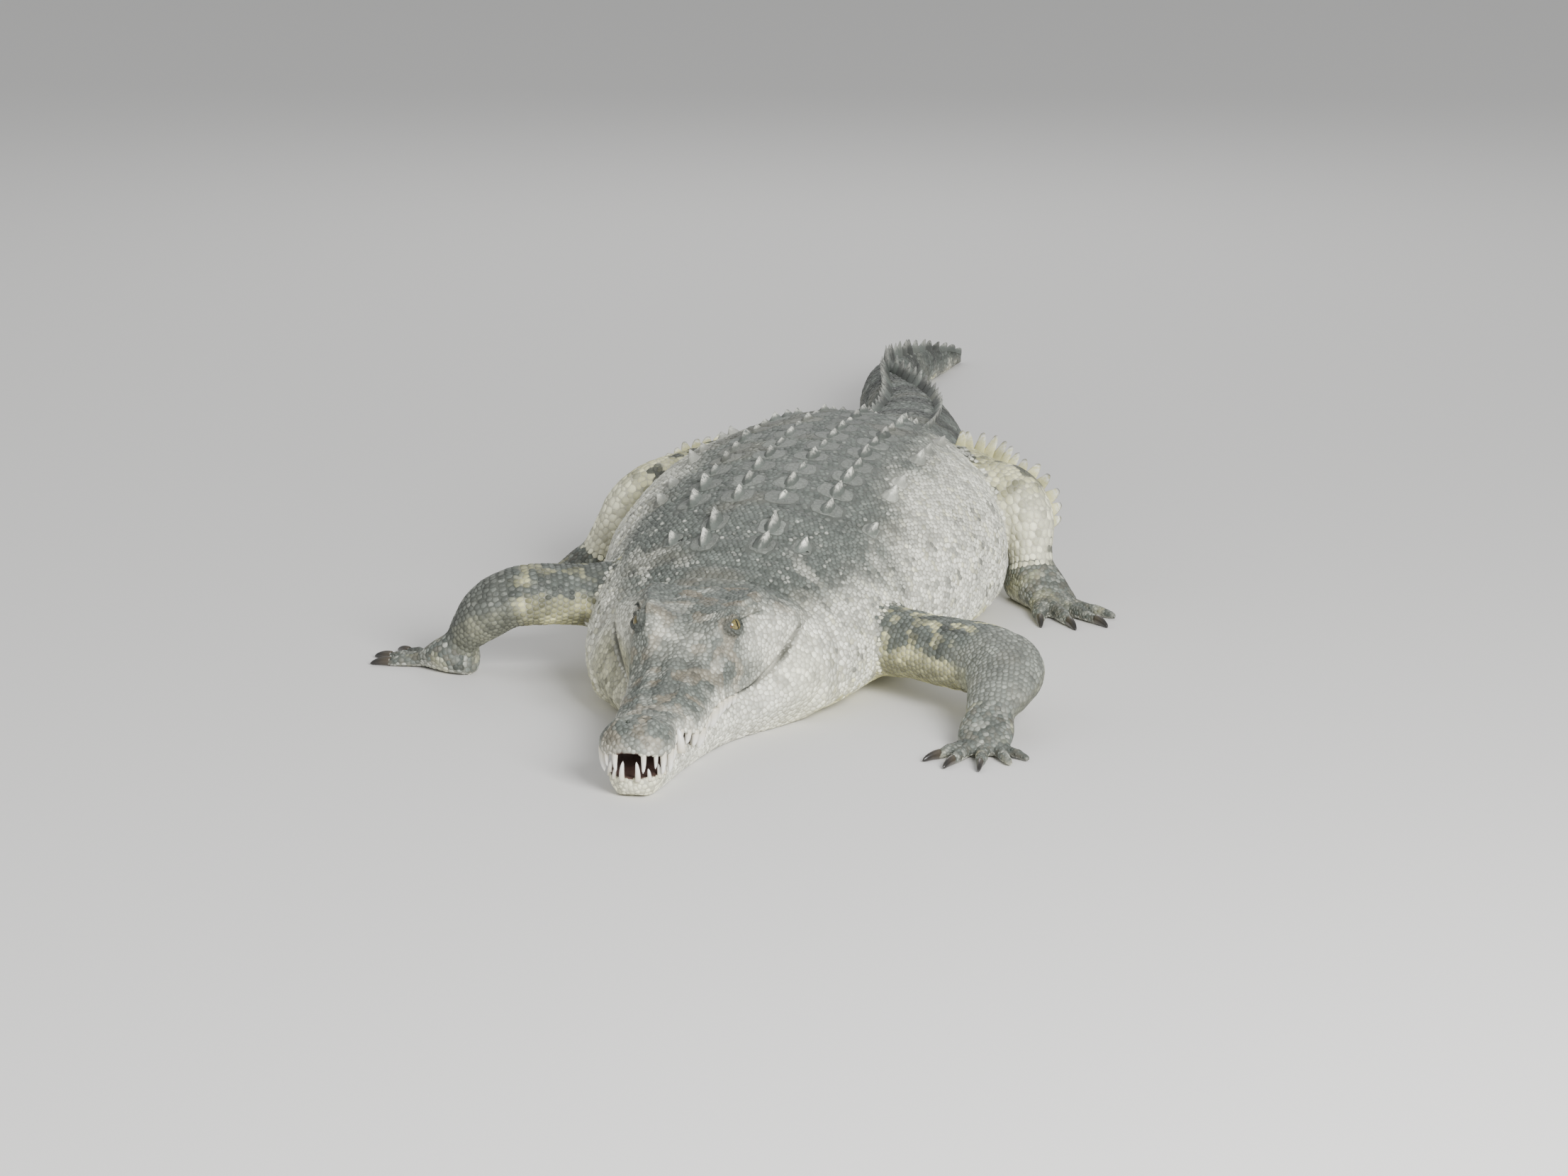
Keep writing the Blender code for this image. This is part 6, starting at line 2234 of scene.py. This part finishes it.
def eye_material():
    material, tree, shader = new_material(
        "wet eye", roughness=0.08, coat_weight=0.45, coat_roughness=0.06, specular_ior_level=0.4)
    flecks = remap(tree, texture(tree, 420.0, 4.0).outputs["Fac"], 0.40, 0.62)
    colour = mix(tree, flecks, (0.13, 0.110, 0.040), (0.25, 0.20, 0.075))
    # the rim of the iris, the ball round it and the pink corner each cover what lies within them
    for name, low, high, beyond in (
        ("angle", 0.42, 0.60, (0.10, 0.085, 0.035)), ("angle", 0.62, 0.70, (0.060, 0.048, 0.036)),
        ("corner", 0.52, 0.62, (0.20, 0.085, 0.070)),
    ):
        colour = mix(tree, remap(tree, attribute(tree, name), low, high), colour, beyond)
    outside = remap(tree, attribute(tree, "slit"), 1.0, 1.25)
    set_inputs(tree, shader, {"base_color": mix(tree, outside, (0.004, 0.004, 0.003), colour)})
    return material


def eye_rings(stations=40, sides=56):
    """Rings round the line of sight, from front to back, in the eye's own axes: back, up, sight."""
    angle = np.linspace(0.02, math.pi - 0.02, stations) ** 1.25
    angle = angle / angle[-1] * (math.pi - 0.02)
    radius = EYE_RADIUS * (0.985 + 0.045 * fade(0.35, 0.75, angle))
    return rings_round_z(radius * np.sin(angle), radius * np.cos(angle), sides)


WET_EYE = eye_material()
rings = eye_rings()
for side, name in ((1, "left"), (-1, "right")):
    verts, faces = closed_loft(rings)
    axes = np.stack([EYE_BACK, EYE_UP, GAZE])
    world = verts @ axes + EYE_CENTRE
    world[:, 0] *= side
    ball = mesh_object(f"eyeball_{name}", world, faces)
    flat = verts / np.linalg.norm(verts, axis=1, keepdims=True)
    off_axis = np.arccos(np.clip(flat[:, 2], -1, 1))
    half_slit = 0.060 * np.sqrt(np.maximum(0.0, 1 - (flat[:, 1] / 0.44) ** 2)) + 0.004
    slit = np.where(np.abs(flat[:, 1]) < 0.44, np.abs(flat[:, 0]) / half_slit, 9.0)
    store(ball.data, "angle", off_axis)
    store(ball.data, "slit", np.minimum(slit, 9.0))
    store(ball.data, "corner", -flat[:, 0])
    ball.data.materials.append(WET_EYE)
    settle(ball, "eye", f"eye_{name}")
timed("eyes set")

# %% [markdown]
# The hide of the animal is one piece, from the lips to the tip of the tail. So one object takes the
# place of all the solids of the flesh: with an object for each of them, every border would show as a
# seam in the folds.

# %% The skin takes the place of the flesh
skin.data.materials.append(SKIN_FINISH)
settle(skin, "hide", *FLESH)
print("flesh solids replaced by one skin:", len(FLESH))

# %% [markdown]
# The stage is a pale floor under a soft, even studio light: a large panel high in front, a weaker one
# on the other side, and a pale surround that fills the shadows as an overcast sky does.

# %% Floor and light
FLOOR_SIZE = 60.0
shape = bmesh.new()
bmesh.ops.create_grid(shape, x_segments=1, y_segments=1, size=FLOOR_SIZE / 2)
floor_mesh = bpy.data.meshes.new("floor")
shape.to_mesh(floor_mesh)
shape.free()
floor = new_object("floor", floor_mesh)
floor.location.z = -0.0005
floor_paint, _, _ = new_material("pale floor", base_color=(0.84, 0.83, 0.81), roughness=0.9)
floor.data.materials.append(floor_paint)

world = bpy.data.worlds.new("studio")
world.use_nodes = True
world.node_tree.nodes["Background"].inputs["Color"].default_value = (0.93, 0.94, 0.95, 1.0)
world.node_tree.nodes["Background"].inputs["Strength"].default_value = 0.50
bpy.context.scene.world = world


def aim(obj, place, direction):
    """Puts a light or camera at its place, facing this way."""
    obj.location = place
    obj.rotation_euler = direction.to_track_quat("-Z", "Y").to_euler()


def panel(name, place, size, power, target=(0.0, -0.6, 0.15)):
    """A square area light that faces the animal."""
    light = bpy.data.lights.new(name, "AREA")
    light.shape = "SQUARE"
    light.size = size
    light.energy = power
    aim(new_object(name, light), place, Vector(target) - Vector(place))


panel("key light", (3.6, -6.0, 3.0), 2.4, 640.0)
panel("fill light", (-3.4, -2.0, 3.2), 3.5, 20.0)
panel("rear light", (-0.8, 4.2, 3.6), 3.0, 60.0)

# %% [markdown]
# The camera looks down a little from ahead and to the animal's left, from far away with a long lens.

# %% Camera
CAMERA_PLACE = (1.784, -8.760, 1.911)
CAMERA_TURN = 0.2151  # to the animal's right of straight along its length
CAMERA_DIP = 0.2204  # below the horizon
lens = bpy.data.cameras.new("camera")
lens.lens = 114.1
lens.sensor_width = 36.0
camera = new_object("camera", lens)
look = Vector((
    -math.sin(CAMERA_TURN) * math.cos(CAMERA_DIP),
    math.cos(CAMERA_TURN) * math.cos(CAMERA_DIP),
    -math.sin(CAMERA_DIP),
))
aim(camera, CAMERA_PLACE, look)
bpy.context.scene.camera = camera
print("camera", round((Vector(CAMERA_PLACE) - Vector(SNOUT_TIP)).length, 2), "m from the snout")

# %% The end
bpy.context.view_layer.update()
timed("all pieces after")
